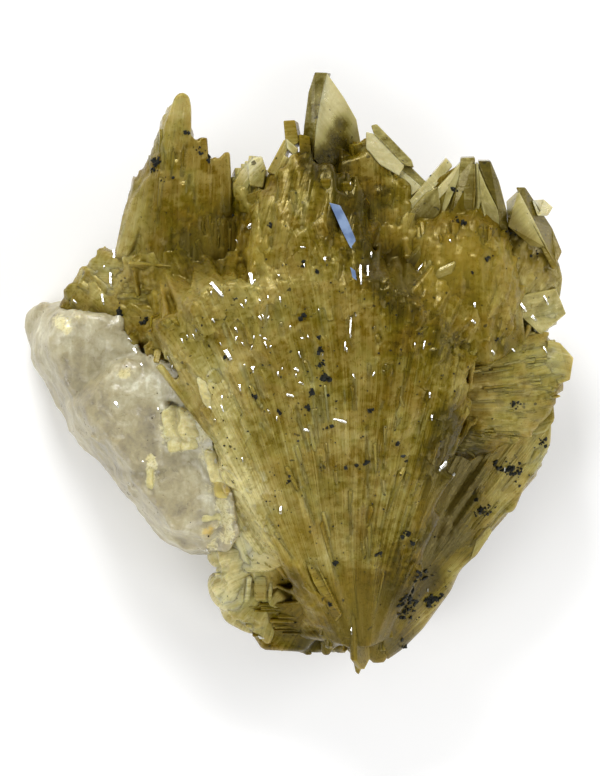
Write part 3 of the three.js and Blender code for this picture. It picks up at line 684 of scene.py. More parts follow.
    def piece(self, name, material, node=None, slot="barite"):
        """The joined copies as one object that stands for a node."""
        mesh = bpy.data.meshes.new(name)
        points = np.concatenate(self.points)
        mesh.from_pydata((points * MM).tolist(), [], self.faces)
        # deep carries the painted shade of the hollows, grooves and crevices, and the darker smoky barite
        mark(mesh, tone=np.concatenate(self.tones), deep=zone(SHADE_AND_SMOKE, points), pale=zone(PALE, points),
             warm=zone(WARM, points), strand=np.clip(1.25 - np.hypot(*(points[:, :2] - FAN_HEART).T) / 60, 0.5, 1))
        corners = np.empty(len(mesh.loops), dtype=np.int32)
        mesh.loops.foreach_get("vertex_index", corners)
        mesh.uv_layers.new(name="grain").data.foreach_set("uv", np.concatenate(self.grains)[corners].ravel())
        mesh.polygons.foreach_set("use_smooth", self.smooth)
        mesh.materials.append(material)
        piece = bpy.data.objects.new(name, mesh)
        bpy.context.collection.objects.link(piece)
        outwards(piece)
        return settle(piece, node)


def outwards(piece):
    """Turns every face of the piece outwards."""
    edit = bmesh.new()
    edit.from_mesh(piece.data)
    bmesh.ops.recalc_face_normals(edit, faces=edit.faces)
    edit.to_mesh(piece.data)
    edit.free()


def settle(piece, node):
    """Puts a finished piece in the frame, for a node or on its own."""
    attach(piece, "root")
    if node:
        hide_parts(node)
    grown[piece.name] = piece
    return piece


def tree_of(*pieces):
    """The pieces as one tree, in millimetres, that a point can be dropped on."""
    verts, faces = [], []
    for piece in pieces:
        start = len(verts)
        verts += [vert.co / MM for vert in piece.data.vertices]
        faces += [tuple(i + start for i in face.vertices) for face in piece.data.polygons]
    return BVHTree.FromPolygons(verts, faces)


def drop(tree, x, y):
    """The highest point of the tree at this place, if it has any there."""
    hit = tree.ray_cast(Vector((x, y, ABOVE)), Vector((0, 0, -1)))[0]
    return None if hit is None else np.array(hit)


# ---- the sheaves, in millimetres ----

# The rails, of roots and of tips, of the large fan and of the spikes at its root.
FAN = ([(4.4, -36.6, 15), (7.1, -38.6, 16), (9.9, -38.6, 16), (12.6, -36.8, 14)], [
    (-10.4, -7.6, 21.8), (-12.6, -3.2, 22.8), (-14.8, 1.8, 23.8), (-17.8, 6.4, 25), (-18.4, 9.2, 26.5),
    (-13.2, 12.4, 28.4), (-6.9, 13.8, 28.8), (0.1, 14, 28.6), (7.1, 14, 29), (13.4, 13.2, 29.6),
    (18.3, 11, 28.6), (21.4, 6.6, 27.4), (22.3, 1, 26), (21.2, -5.2, 24.5), (19, -12.4, 22)])
SPIKES = ([(5, -28, 20), (8, -29, 21), (12, -28, 18)], [
    (3.4, -39.6, 13.5), (6, -39.8, 14), (10.2, -40, 13), (12.8, -39.6, 11)])


class SPECIMEN_OT_central_fan(bpy.types.Operator):
    """Grow the large fan of thin blades and the spikes at its root"""
    bl_idname = "specimen.central_fan"
    bl_label = "Large fan"

    def execute(self, context):
        sizes, colours = context.scene.specimen_sizes, context.scene.specimen_colours
        fan = Growth(11, (0.18, 0.36, 0.54, 0.72))
        fan.along(*FAN)
        fan.comb(110, 8, (0.4, 2.0), 5.9, 2.0, 0.16, 0.3, 0.1, 0.45)
        fan.shingle(sizes.fan_blades, (0.6, sizes.blade), 5.9, (0.12, 1.0), (0.1, 0.5), lift=(-0.15, 0.35),
            rise=(0.1, 0.6), lean=0.3, swing=0.07)
        fan.shingle(320, (1.4, 2.6), 5.9, (0.55, 1.0), (0.06, 0.16), lift=(-0.1, 0.3), rise=(0.0, 0.7), lean=0.4,
            swing=0.25)
        fan.along([(5, -28, 17), (-1, -27, 16)], [(-20.9, 5.4, 21), (-17.2, 1.9, 21.8), (-13.4, -0.4, 22.8),
            (-12.2, -5.4, 23.2), (-12.7, -9.6, 23.2), (-11.5, -13.8, 22.8), (-9.7, -16.9, 21.6)])
        fan.comb(50, 5, (0.6, 1.6), 1.8, 1.2, 0.14, 0.5)
        fan.shingle(260, (0.5, 1.4), 1.8, (0.3, 1.0), (0.1, 0.4))
        fan.along(*SPIKES)
        fan.comb(12, 4, (1.2, 1.2), 0.4, 1.6, 0.12, 0.6)
        fan.slab([(7.2, -39.2, 14), (7.6, -40.4, 13.4), (8, -42.4, 12), (8.5, -42.6, 12), (9.4, -40, 13.4),
            (9.1, -37.5, 15.5)], (0, 0.4, -3), 0.7)
        fan.slab([(9.3, -37.5, 14), (11.4, -37.5, 14), (12.7, -39.9, 11.6), (12, -40.9, 11), (10.5, -41, 11.4),
            (9.6, -40.1, 12.6)], (0, 0.4, -3), 0.3)
        fan.slab([(3, -37.6, 13), (3.2, -39.7, 12), (4.2, -40, 12), (4.9, -38.7, 13), (4.9, -37, 14)], (0, 0.4, -3),
            0.4)
        fan.along(*FAN)
        fan.fuse(0.4)
        fan.shingle(240, (0.4, 1.2), 6.1, (0.2, 1.0), (0.05, 0.2), lift=(-0.1, 0.2), rise=(0.1, 0.5), lean=0.4,
            swing=0.12)
        fan.shingle(180, (0.4, 0.9), 6.0, (0.6, 1.0), (0.02, 0.06), lift=(-0.1, 0.2), rise=(0.0, 0.3), lean=0.4,
            swing=0.3)
        fan.along(*SPIKES)
        fan.shingle(60, (0.8, 0.7), 0.4, (0.3, 0.95), (0.2, 0.6))
        spike = np.array([7.0, -30.0, 20.0])
        fan.lay(fan.plate, spike, spike + (0.7, -12.2, -5), (-1.8, 0, 3), depth=math.hypot(1.8, 3), thick=(1.2, 1.2),
                cut=2.0, slant=0.5, tone=0.6)
        fan.slab([(-0.6, -22.7, 22.6), (0.3, -22.5, 22.8), (2.9, -27.5, 21.6), (5.9, -33.8, 19), (5.1, -34.9, 17.6),
            (2.1, -29.2, 20.8)], (0.5, 0, -2), 0.75, proud=0.15)
        fan.piece("large_fan", barite_finish("golden_barite", colours), "central_fan")
        return {"FINISHED"}


class SPECIMEN_OT_horn(bpy.types.Operator):
    """Grow the horn at the upper left and the shoulder below it"""
    bl_idname = "specimen.horn"
    bl_label = "Horn and shoulder"

    def execute(self, context):
        colours = context.scene.specimen_colours
        horn = Growth(91)
        horn.along([(-26, 12.6, 15), (-20, 11.4, 20.4), (-13, 11.4, 22.4), (-8, 13.6, 19.6)],
            [(-24, 23.7, 17), (-22.2, 27.8, 18), (-20.1, 31.4, 19), (-18.4, 35.8, 20), (-17, 38.6, 20),
            (-15.8, 37.8, 20), (-15.6, 32.7, 20.5), (-14.7, 28.8, 20.5), (-13.6, 27.7, 20), (-12.5, 26.6, 20),
            (-11.4, 26, 20), (-10.2, 26, 19.5), (-9.5, 24.4, 18.5)])
        horn.comb(44, 8, (1.6, 1.3), 1.4, 1.2, 0.05, 0.3)
        horn.shingle(160, (1.0, 1.0), 1.4, (0.1, 0.97), (0.15, 0.6), lift=(-0.2, 0.2), rise=(0, 0.5), lean=0.3,
            swing=0.04)
        horn.slab([(-17.9, 37.5, 20.8), (-17.4, 39, 20.6), (-16.4, 39.6, 20.4), (-15.4, 39, 20.4),
            (-15.1, 37.5, 20.6), (-15.1, 33.8, 21.4), (-16.7, 31, 22), (-19, 31, 21.4), (-19.1, 34.4, 20.8)],
            (0, -0.4, -3.6), 0.8, 0.3)
        horn.slab([(-23.7, 24.4, 18.4), (-21.5, 27.7, 19.6), (-19.8, 28.2, 21), (-21.4, 23.2, 21), (-24, 16.2, 19),
            (-26, 16.5, 17.4)], (0.4, 0, -3), 0.95, 0.4)
        horn.slabs([
            (0.4, [(-15.8, 33.6, 21.2), (-15.1, 33.4, 21.2), (-14.4, 32.6, 21.2), (-13.7, 32.4, 21.2),
                (-13.3, 22.2, 22), (-15.8, 22.2, 22.4)]),
            (-0.4, [(-14, 33.1, 21), (-12.9, 33.1, 21), (-12.6, 29.3, 21.4), (-12.5, 22.2, 22), (-13.9, 22.2, 22)]),
            (0.7, [(-12.8, 29.5, 20.8), (-11.8, 30.5, 20.6), (-11.2, 29.9, 20.6), (-10.8, 22.2, 21.8),
                (-12.7, 22.2, 22)]),
            (1.0, [(-11.4, 29.9, 20.6), (-10.4, 31.1, 20.4), (-9.7, 31.1, 20.2), (-9.4, 25, 20.8),
                (-9.5, 22.2, 21.2), (-11.3, 22.2, 21.6)])], (0, 0, -5), 0.1)
        horn.fuse(0.3, 1)
        horn.shingle(60, (0.6, 0.6), 1.5, (0.3, 0.97), (0.08, 0.3), lift=(-0.1, 0.15), rise=(0.1, 0.4), lean=0.3,
            swing=0.06)
        horn.slab([(-24, 15.6, 20.5), (-19.5, 15.3, 21.8), (-15, 14.8, 22.6), (-14.7, 14.1, 22), (-19.5, 14.2, 21.2),
            (-24, 14.8, 20)], (0, 0.6, -2), 0.9, 0.25, proud=0.2)
        horn.piece("horn", barite_finish("horn_barite", colours, lift=-0.06, contrast=0.7), "upper_left_horn")

        shoulder = Growth(101)
        shoulder.along([(-10, 2.4, 21), (-12, 12, 22)], [(-27.4, 7.3, 16), (-34.3, 9, 12.6), (-34.2, 11.2, 12.6),
            (-31.6, 14.9, 13.6), (-28.9, 17.1, 14.6), (-20.9, 16.2, 18)])
        shoulder.comb(34, 5, (1.4, 1.3), 0.8, 1.4, 0.08, 0.5)
        shoulder.shingle(200, (1.0, 1.1), 0.8, (0.15, 1.0), (0.1, 0.4), lean=0.5, swing=0.15)
        shoulder.fuse()
        shoulder.shingle(90, (0.6, 0.7), 0.9, (0.15, 1.0), (0.06, 0.2), lean=0.6, swing=0.3)
        shoulder.along([(-4, -6, 25), (-9, 10, 26)], [(-13.9, -0.1, 22.4), (-17.5, 0.5, 21.6), (-20.7, 1.1, 20.8),
            (-22, 4, 20), (-20.9, 7.8, 19.6), (-17.2, 10.9, 20.6)])
        shoulder.comb(36, 5, (1.2, 1.4), 0.5, 1.4, 0.14, 0.6)
        shoulder.shingle(200, (0.8, 1.2), 0.5, (0.3, 1.0), (0.1, 0.35), lean=0.5, swing=0.15)
        shoulder.fuse()
        shoulder.shingle(110, (0.6, 0.8), 0.7, (0.3, 1.0), (0.06, 0.2), lean=0.6, swing=0.3)
        shoulder.piece("shoulder", barite_finish("shoulder_barite", colours), "left_shoulder")
        return {"FINISHED"}


class SPECIMEN_OT_middle_sheaf(bpy.types.Operator):
    """Grow the small blades between the horn and the tall crystal"""
    bl_idname = "specimen.middle_sheaf"
    bl_label = "Middle sheaf"

    def execute(self, context):
        colours = context.scene.specimen_colours
        middle = Growth(21)
        middle.along([(-8, 1, 27.6), (-2, -1, 29.4), (4, -1, 29.8), (9.5, 1, 28.6)], [(-5.2, 25.7, 21),
            (-3.8, 28.2, 21.5), (-1.5, 31, 22), (0.7, 31.6, 22.6), (2.9, 30.1, 22.8), (5.5, 29, 22.8),
            (8.8, 27.4, 22.4), (9.4, 19.2, 24.4)])
        middle.comb(36, 8, (1.8, 1.3), 3.4, 1.6, 0.08, 0.4)
        middle.shingle(180, (1.2, 1.1), 3.4, (0.1, 1.0), (0.12, 0.5), lean=0.3, swing=0.05)
        middle.fuse(0.34, 5)
        middle.shingle(60, (0.6, 0.9), 3.5, (0.3, 1.0), (0.08, 0.3), lift=(-0.25, 0.1), rise=(0.0, 0.3), lean=0.2,
            swing=0.06)
        middle.along([(-9.2, 14, 20), (-5.6, 14, 22)], [(-9.1, 27.6, 19.4), (-7.9, 29.7, 20), (-6.6, 30.6, 20.6),
            (-5.5, 30.6, 20.6), (-4.8, 28.5, 20)])
        middle.comb(9, 6, (1.2, 0.95), 0.6, 0.8, 0.05, 0.5, tone=1.0)
        middle.shingle(50, (0.8, 0.7), 0.6, (0.3, 0.95), (0.2, 0.6))
        middle.slabs([
            (1.3, [(-9.3, 26.6, 20.6), (-8.1, 28.5, 20.8), (-7.1, 29.4, 21), (-6.9, 26.5, 21.4), (-7.7, 24.3, 21.6),
                (-9.1, 24.6, 21)]),
            (1.7, [(-7.3, 29.2, 21.2), (-6.3, 30.2, 21.2), (-5.2, 30.3, 21), (-4.6, 28.5, 21.2), (-5, 26, 21.6),
                (-6.9, 26.3, 21.8)]),
            (0.8, [(-8.5, 24.6, 21.6), (-5.2, 25.8, 22), (-4.2, 24.3, 22.4), (-5.7, 22, 22.6),
                (-8.3, 22.6, 22)])], (0, 0.3, -3), 0.15)
        middle.slab([(-2.2, 35.4, 22), (-0.6, 35.5, 22.2), (0, 32.4, 22.8), (-1.8, 31, 22.8)], (0.5, -0.2, -3), 0.2)
        middle.slab([(-4.5, 28.3, 22.4), (-2.1, 32.8, 22.6), (-1.3, 32.4, 22.8), (-2.9, 27.6, 23)], (0.3, -0.4, -3),
            1.5)
        middle.slab([(-1.8, 32.9, 22.9), (-0.1, 31.5, 23), (-0.4, 30.3, 23.2), (-1.7, 31.5, 23.2)], (0, -0.2, -2.4),
            1.7)
        middle.slab([(-3.5, 27.6, 23.4), (-2.1, 30.6, 23.4), (-1.1, 29.9, 23.4), (-2.1, 25.9, 23.8)], (0.2, -0.3, -3),
            1.2)
        middle.slab([(0, 33.5, 22.8), (1.5, 33.2, 22.8), (1.8, 29.8, 23.6), (0.1, 29.8, 23.6)], (0, 0, -3), -0.1)
        middle.slab([(2.9, 27.2, 24), (4.5, 27.3, 24), (4.6, 25.5, 24.2), (3.1, 25.4, 24.2)], (0, 0, -2), 1.3, 0.25,
            proud=0.25)
        middle.slab([(5.9, 26.8, 24), (7.5, 26.9, 24), (7.5, 25.4, 24.2), (6, 25.1, 24.2)], (0, 0, -2), 1.1, 0.25,
            proud=0.25)
        middle.piece("middle_sheaf", barite_finish("middle_barite", colours, lift=-0.06), "upper_centre_sheaf")
        return {"FINISHED"}


class SPECIMEN_OT_clear_blades(bpy.types.Operator):
    """Grow the tall crystal, the smoky mass and clear blades beside it, and the boards at the far right"""
    bl_idname = "specimen.clear_blades"
    bl_label = "Clear blades"

    def execute(self, context):
        colours = context.scene.specimen_colours
        tall = Growth(5)
        tall.slab([(3.9, 42.1, 22.4), (6.4, 38.6, 20.4), (8.1, 35.7, 18.6), (8.7, 32.4, 17.6), (7.4, 29.2, 17.6),
            (4.6, 27.7, 20.4), (2.1, 29.9, 23), (2.5, 36.6, 23)], (-0.9, 0.1, -2.8), 1.25, 0.1, cuts=0.45)
        tall.slab([(2.2, 42.2, 21.4), (3.9, 42.1, 22.5), (2.9, 38.2, 23.2), (2.2, 33.8, 23.2), (1.8, 29.3, 23),
            (0.4, 31, 21.6), (0.7, 34.8, 21), (1.3, 39.4, 21)], (0.6, 0, -2.4), -0.15, 0.1, cuts=0.45)
        tall.piece("tall_crystal", clear_finish("tall_barite", colours, lift=-0.03, transmission=0.3), "tall_blade",
            "clear_barite")

        smoky = Growth(33)
        rails = ([(5, 10, 22), (9, 9, 23), (14, 9, 24)], [
            (5.8, 31.4, 18.6), (8.3, 32.8, 18.6), (10.2, 33.7, 19.4), (11.9, 31.9, 20), (14.2, 29.4, 20.8),
            (15.8, 25.7, 21.8)])
        smoky.along(*rails)
        smoky.comb(26, 6, (1.6, 1.6), 0.8, 1.6, 0.12, 0.8)
        smoky.shingle(90, (1.4, 1.6), 0.8, (0.2, 1.0), (0.1, 0.5), lean=0.4, swing=0.12)
        smoky.slab([(5.5, 29.9, 20.6), (10.2, 31.3, 20.6), (14.4, 25.7, 22), (15.5, 19.2, 23.6), (11.3, 15.6, 24.4),
            (7.4, 18.7, 23.6), (5.2, 24.3, 22)], (0, 0, -5), 0.3, 0.4)
        smoky.along([(8.4, 9, 20), (14.5, 8, 22)], [(9.4, 22, 16), (13, 25.5, 17), (16.5, 25.5, 18.5)])
        smoky.comb(16, 6, (1, 1), 0.6, 1.6)
        smoky.along(*rails)
        smoky.fuse(0.34, 5)
        smoky.shingle(60, (0.6, 0.8), 0.9, (0.2, 1.0), (0.06, 0.3), lean=0.4, swing=0.2)
        smoky.piece("smoky_mass", barite_finish("smoky_barite", colours, lift=-0.04))
        leaning = Growth(31)
        leaning.slab([(9.4, 33.9, 20.6), (10.5, 33.6, 20.8), (14.8, 29.2, 21.6), (14, 27.7, 21.8), (11.3, 29.3, 21.4),
            (9.4, 31.6, 20.8)], (0, -0.2, -2), 1.4)
        leaning.slab([(10.1, 34.8, 20.6), (10.9, 35, 20.4), (15.8, 29.9, 21), (16.1, 28.9, 21.2), (14.8, 29.2, 21.8),
            (10.5, 33.6, 21)], (0, -0.1, -2.4), 0.1)
        leaning.slab([(11.5, 31.1, 20), (13.9, 29.1, 20.6), (17.2, 26.1, 21.4), (15.8, 24.9, 21.6),
            (13.3, 26.3, 21.2), (11.1, 28.8, 20.6)], (0, -0.2, -2), 1.4)
        leaning.slab([(11.9, 31.9, 19.6), (12.9, 31.8, 19.4), (18.1, 26.6, 20.6), (17.1, 25.7, 21.2),
            (14, 28.9, 20.8), (11.6, 30.9, 20.2)], (0, -0.1, -2.4), 0.0)
        leaning.piece("leaning_blades", clear_finish("leaning_barite", colours, lift=-0.04, transmission=0.2,
            relief=0.5), "top_right_blades", "clear_barite")

        far = Growth(45)
        far.along([(27.6, 10, 20), (29, 7, 20), (30, 5.4, 18)], [(30.3, 23.6, 20), (32.7, 21.8, 19.6),
            (35, 18.2, 18.4), (36.4, 15.7, 17), (36.1, 11.8, 16.5), (37.3, 8.4, 15.5), (34.1, 5.9, 14.5)])
        far.comb(16, 6, (1.4, 1.6), 0.8, 1.2, tone=0.3)
        far.shingle(24, (1.0, 1.1), 0.8, (0.3, 0.95), (0.2, 0.5), rise=(0, 0.2))
        far.slab([(28.7, 20.7, 20.4), (32.4, 18.7, 20.2), (35.1, 17.6, 19.4), (36.5, 15.7, 18), (37.1, 13.4, 17),
            (36.7, 10.4, 16), (31.1, 9.6, 17.2), (29, 13.1, 19.2)], (0, 0, -5), 0.1, 0.3)
        far.shingle(50, (1.2, 1.3), 0.8, (0.15, 0.95), (0.2, 0.5), lift=(0.2, 0.9), rise=(0, 0.2), swing=0.08)
        far.fuse(0.3, 2)
        far.slab([(29.1, 24.2, 17.9), (30.7, 25.7, 21.4), (32.9, 21.5, 21), (34.9, 17.5, 20.1), (32.4, 17.9, 20.7),
            (29.2, 20.6, 24.3)], (0.2, -0.2, -2), 1.0)
        far.slab([(30.4, 26.1, 21.1), (31.7, 26.1, 20.7), (35.6, 20.5, 16.3), (36.9, 17.1, 18.7), (36.1, 15.4, 19.2),
            (34.1, 17.5, 20.1), (32.2, 21.8, 20.6)], (0.1, 0, -2.6), -0.25)
        far.slab([(32.7, 24.3, 20), (34.5, 24.6, 14), (35.6, 23.3, 17), (35, 22.2, 17), (33.5, 22.1, 19.7)],
            (0, 0, -2), 1.2)
        far.slab([(29.2, 22, 23.6), (30.2, 22.3, 21.7), (31.4, 20.4, 21.9), (30.8, 19.8, 21.9)], (0, 0, -1.6), -0.4)
        far.slab([(31.9, 21.2, 20.9), (32.5, 21.4, 21.4), (36.3, 15.1, 19.7), (35.6, 14.5, 19.9)], (0, 0, -2), 0.0)
        far.slab([(30.5, 10.9, 21.2), (36.1, 11.9, 18.7), (37.6, 8.4, 15.7), (33.9, 5.4, 20.6), (31.3, 7.8, 20.4)],
            (0, 0.2, -2.4), 0.6)
        far.piece("far_boards", clear_finish("far_barite", colours, lift=-0.12, transmission=0.12, relief=0.8),
            "far_right_blades", "clear_barite")
        return {"FINISHED"}


class SPECIMEN_OT_right_sheaf(bpy.types.Operator):
    """Grow the sheaf of boards at the upper right"""
    bl_idname = "specimen.right_sheaf"
    bl_label = "Right sheaf"

    def execute(self, context):
        colours = context.scene.specimen_colours
        right = Growth(41)
        right.along([(16, 5.5, 26), (20, 2.5, 27.6), (26, 1.4, 26.6), (31, 4, 22.4)], [(15.8, 21.2, 21.6),
            (18.3, 22.6, 23.4), (21.4, 23.1, 24.4), (24.4, 23.1, 24.6), (27.3, 21.2, 24), (29.3, 18.7, 22.4)])
        right.comb(28, 8, (1.9, 1.6), 2.2, 1.6, 0.12, 0.4)
        right.shingle(130, (1.4, 1.3), 2.2, (0.1, 0.85), (0.15, 0.55), lean=0.25, swing=0.04)
        right.slab([(15.3, 22, 22.4), (18, 25.7, 23), (19.7, 27.6, 23.2), (22.7, 29.4, 23.4), (24.8, 29.4, 23.4),
            (26.4, 29, 23), (28, 25.7, 22.8), (29, 21.2, 22.4), (29.3, 15.6, 22), (15.5, 15.6, 22)], (0, 0, -4), 0.3)
        right.fuse(0.34, 5)
        right.shingle(60, (0.6, 0.9), 2.2, (0.2, 0.95), (0.12, 0.4), lift=(-0.25, 0.05), rise=(0, 0.25), lean=0.2,
            swing=0.05)
        tree = right.solid()
        right.piece("right_sheaf", barite_finish("right_barite", colours, lift=-0.1, contrast=0.8),
            "upper_right_sheaf")
        boards = Growth(43)
        boards.tree = tree
        boards.slabs([
            (1.3, [(20.6, 30.1, 23.4), (21.5, 29, 23.6), (18.6, 25.6, 23.8), (15.8, 22.3, 23.2), (14.8, 23.4, 23)]),
            (1.1, [(19.3, 25.9, 24.4), (22.6, 29.5, 24.6), (22.4, 27.3, 24.6), (20.8, 23.4, 24), (19.2, 20.6, 22.8),
                (18.3, 21.2, 22.6)]),
            (0.2, [(15.2, 22.3, 23.6), (17.6, 25.2, 24.2), (19.4, 26.1, 24.3), (19.8, 23.3, 24.2),
                (18.9, 19.2, 22.6), (15.8, 17.9, 22)]),
            (0.2, [(22.6, 30.1, 24.6), (24.6, 30.2, 24.6), (24.7, 25.6, 24.6), (24.2, 20.3, 23.4), (22.8, 17, 22.2),
                (20.3, 17.3, 22), (20.8, 21.7, 23.6), (22.4, 27.9, 24.6)]),
            (1.0, [(24.7, 29.4, 24.8), (25.1, 29.4, 24.8), (25.4, 24, 24.4), (24.7, 20.9, 23.6)]),
            (-0.2, [(25, 29.7, 24.4), (26.8, 29.7, 24), (28, 26.8, 23.8), (29.1, 22.6, 23.4), (29.4, 16.4, 22),
                (28.5, 17, 22.6), (27.7, 23.1, 24), (26.1, 26.5, 24.2)]),
            (0.9, [(25, 29, 24.6), (26.1, 26.3, 24.7), (27.7, 23.1, 24.6), (28.7, 18.7, 23), (27.9, 17, 22),
                (26.1, 20.6, 23.6), (25.3, 24.5, 24.2)])], (0, 0.3, -3), 0.15, proud=0.2)
        boards.slabs([
            (0.9, [(19.3, 14.5, 24), (21.9, 15.6, 24), (21.1, 11.7, 23.2), (18.7, 12.5, 23.4)]),
            (0.7, [(14.8, 15.6, 24), (16.8, 17.8, 24), (17.5, 15.6, 23.8), (15.9, 12.2, 23.2)]),
            (0.9, [(16.5, 12.8, 24), (18.3, 15.9, 24), (19.3, 13.9, 23.8), (17.6, 10.8, 23.2)])], (0, 0.6, -2),
                0.3, proud=0.0)
        boards.piece("right_boards", clear_finish("board_barite", colours, lift=-0.13, transmission=0.12, relief=0.7),
            slot="clear_barite")
        return {"FINISHED"}


class SPECIMEN_OT_right_growths(bpy.types.Operator):
    """Grow the fan that opens to the right and the long plate below it"""
    bl_idname = "specimen.right_growths"
    bl_label = "Right fan and plate"

    def execute(self, context):
        colours = context.scene.specimen_colours
        fan = Growth(51)
        fan.along([(17, 4.6, 25), (18, -3, 26), (18, -9, 23)], [(31, 6.7, 20), (36.1, 4.6, 19.5), (38.3, 2.3, 19),
            (37.7, -1.5, 19.4), (36.1, -4.8, 19.6), (32.4, -8.5, 20), (25.1, -11.6, 20)])
        fan.comb(40, 6, (1.2, 1.5), 1.3, 1.2, 0.08, 0.4)
        fan.shingle(240, (0.9, 1.1), 1.3, (0.2, 1.0), (0.12, 0.45), lift=(-0.2, 0.2), rise=(0, 0.5), lean=0.3,
            swing=0.05)
        fan.fuse(0.34)
        fan.shingle(160, (0.35, 0.5), 1.4, (0.3, 1.0), (0.08, 0.3), lift=(-0.15, 0.1), rise=(0.1, 0.35), lean=0.3,
            swing=0.05)
        fan.slab([(34.9, 4.7, 19.6), (36.6, 4.3, 19), (38.5, 2.2, 18.6), (38, -0.9, 18.6), (36.4, -1.5, 19),
            (34.6, 1.1, 20)], (0, 0, -3), 1.3, proud=0.1)
        fan.piece("right_opening_fan", barite_finish("right_fan_barite", colours, contrast=0.7), "right_fan")
        long = Growth(61)
        long.along([(10, -35.5, 12), (11.8, -37, 10), (13.4, -37.4, 8)], [(17.6, -8, 14), (22, -10.4, 17),
            (27, -9, 19.4), (31.6, -6, 19.6), (34.4, -6.6, 18.6), (34.2, -10.6, 17.4), (32, -14.6, 15.6),
            (28.8, -18.2, 13.4)])
        long.comb(34, 5, (0.8, 1.9), 1.2, 1.2, 0.05, 0.3)
        long.shingle(130, (0.9, 1.9), 1.2, (0.15, 0.98), (0.2, 0.7), lift=(-0.2, 0.2), rise=(0, 0.4), lean=0.2,
            swing=0.02)
        long.fuse()
        long.shingle(70, (0.4, 0.9), 1.3, (0.2, 0.98), (0.1, 0.4), lift=(-0.15, 0.1), rise=(0, 0.3), lean=0.25,
            swing=0.03)
        long.slabs([
            (0.7, [(28.7, -8.2, 20.6), (32.4, -5.8, 20.2), (35.5, -6.5, 18.8), (35.4, -9.9, 17), (33.9, -13, 16.6),
                (31.5, -16.5, 16.4), (30.3, -19.5, 15), (28.7, -19.8, 15.2), (27, -21.5, 15.2), (24.6, -20.6, 16.6),
                (23.5, -16.1, 18), (25.4, -11.4, 19.8)]),
            (0.4, [(24.6, -17.3, 17.6), (28, -19.2, 15.8), (27, -22, 15), (24.7, -25.9, 13.6), (22.7, -27.8, 13),
                (21.5, -30.7, 10.5), (19.9, -32.9, 9.8), (17.6, -36.1, 9), (14.7, -39, 9.4), (12.3, -40.6, 11.4),
                (11.4, -37.5, 14.6), (15.5, -31.6, 14.4), (18.3, -26.7, 15.6), (19.4, -22.6, 16.6),
                (21.4, -19.7, 17.2)]),
            (0.2, [(19.7, -9.3, 22.2), (24, -8.8, 21), (25.7, -11.4, 19.8), (23.7, -15.8, 18.2), (21.5, -19.7, 17.4),
                (19.5, -22.6, 16.8), (18.4, -26.7, 16), (15.6, -31.9, 15), (11.4, -37, 14.6), (11.1, -33.2, 17),
                (13.9, -26.2, 19), (16.7, -19.1, 20), (18.9, -13.5, 20.8)])], (0, 0, -3), 0.4)
        long.shingle(60, (0.6, 1.4), 1.5, (0.2, 0.98), (0.15, 0.5), lift=(0.0, 0.5), rise=(0, 0.4), lean=0.25,
            swing=0.03)
        long.fuse(0.36, 3)
        long.shingle(50, (0.4, 0.9), 1.5, (0.2, 0.98), (0.08, 0.3), lift=(0.1, 0.4), rise=(0, 0.3), lean=0.25,
            swing=0.05)
        long.slab([(24.9, -22.9, 15), (26.9, -21, 15.2), (27.2, -22.3, 14.6), (25, -25.7, 13.6), (23.8, -26.6, 13.4)],
            (0, 0, -2), 1.6, 0.3, proud=0.2)
        long.slab([(33.5, -4.8, 19.4), (35.7, -4, 18.8), (35.9, -6.5, 18.6), (34.7, -8.2, 18.6), (32.4, -8.8, 19)],
            (0, 0, -2), 1.1, 0.3, proud=0.2)
        long.piece("long_plate", barite_finish("plate_barite", colours, lift=-0.04, contrast=0.8),
            "lower_right_plate")
        return {"FINISHED"}


# Seams that small blades have grown across: from, to, spread, number of blades, and their own way if they have one.
SEAMS = [
    ((-11.8, -3.7), (-9.9, -15.4), 0.7, 80, None), ((-19.5, 9.8), (-5.1, 11.3), 2.4, 150, None),
    ((-5.1, 11.3), (14, 12.4), 2.4, 190, None), ((14, 12.4), (25.3, 6.1), 2.4, 120, None),
    ((-20, 5.7), (-13.2, 1.6), 1.2, 100, None), ((-10.7, -1.6), (-7.9, -14.3), 1.2, 80, None),
    ((-8.2, -12.1), (-4.6, -26.2), 1.6, 100, None), ((19.9, 6), (20.5, -10.7), 2.2, 110, None),
    ((-24.3, 14.8), (-8.3, 14.2), 1.6, 130, (0.1, 1)), ((-8.3, 25.7), (-5.7, 15.6), 1.4, 70, (0.1, 1)),
    ((0.1, -29.7), (4.6, -37.5), 1.4, 60, None), ((14.7, 22.2), (14, 11.6), 1.4, 60, (0.3, 1)),
    ((28.1, 18.6), (29.3, 6.1), 1.6, 70, (0.5, 1)), ((0.1, 18.6), (12.7, 17.3), 3.0, 120, (0.1, 1)),
    ((-30.9, 11.8), (-22.3, 6.1), 1.6, 60, (-0.6, 1))]


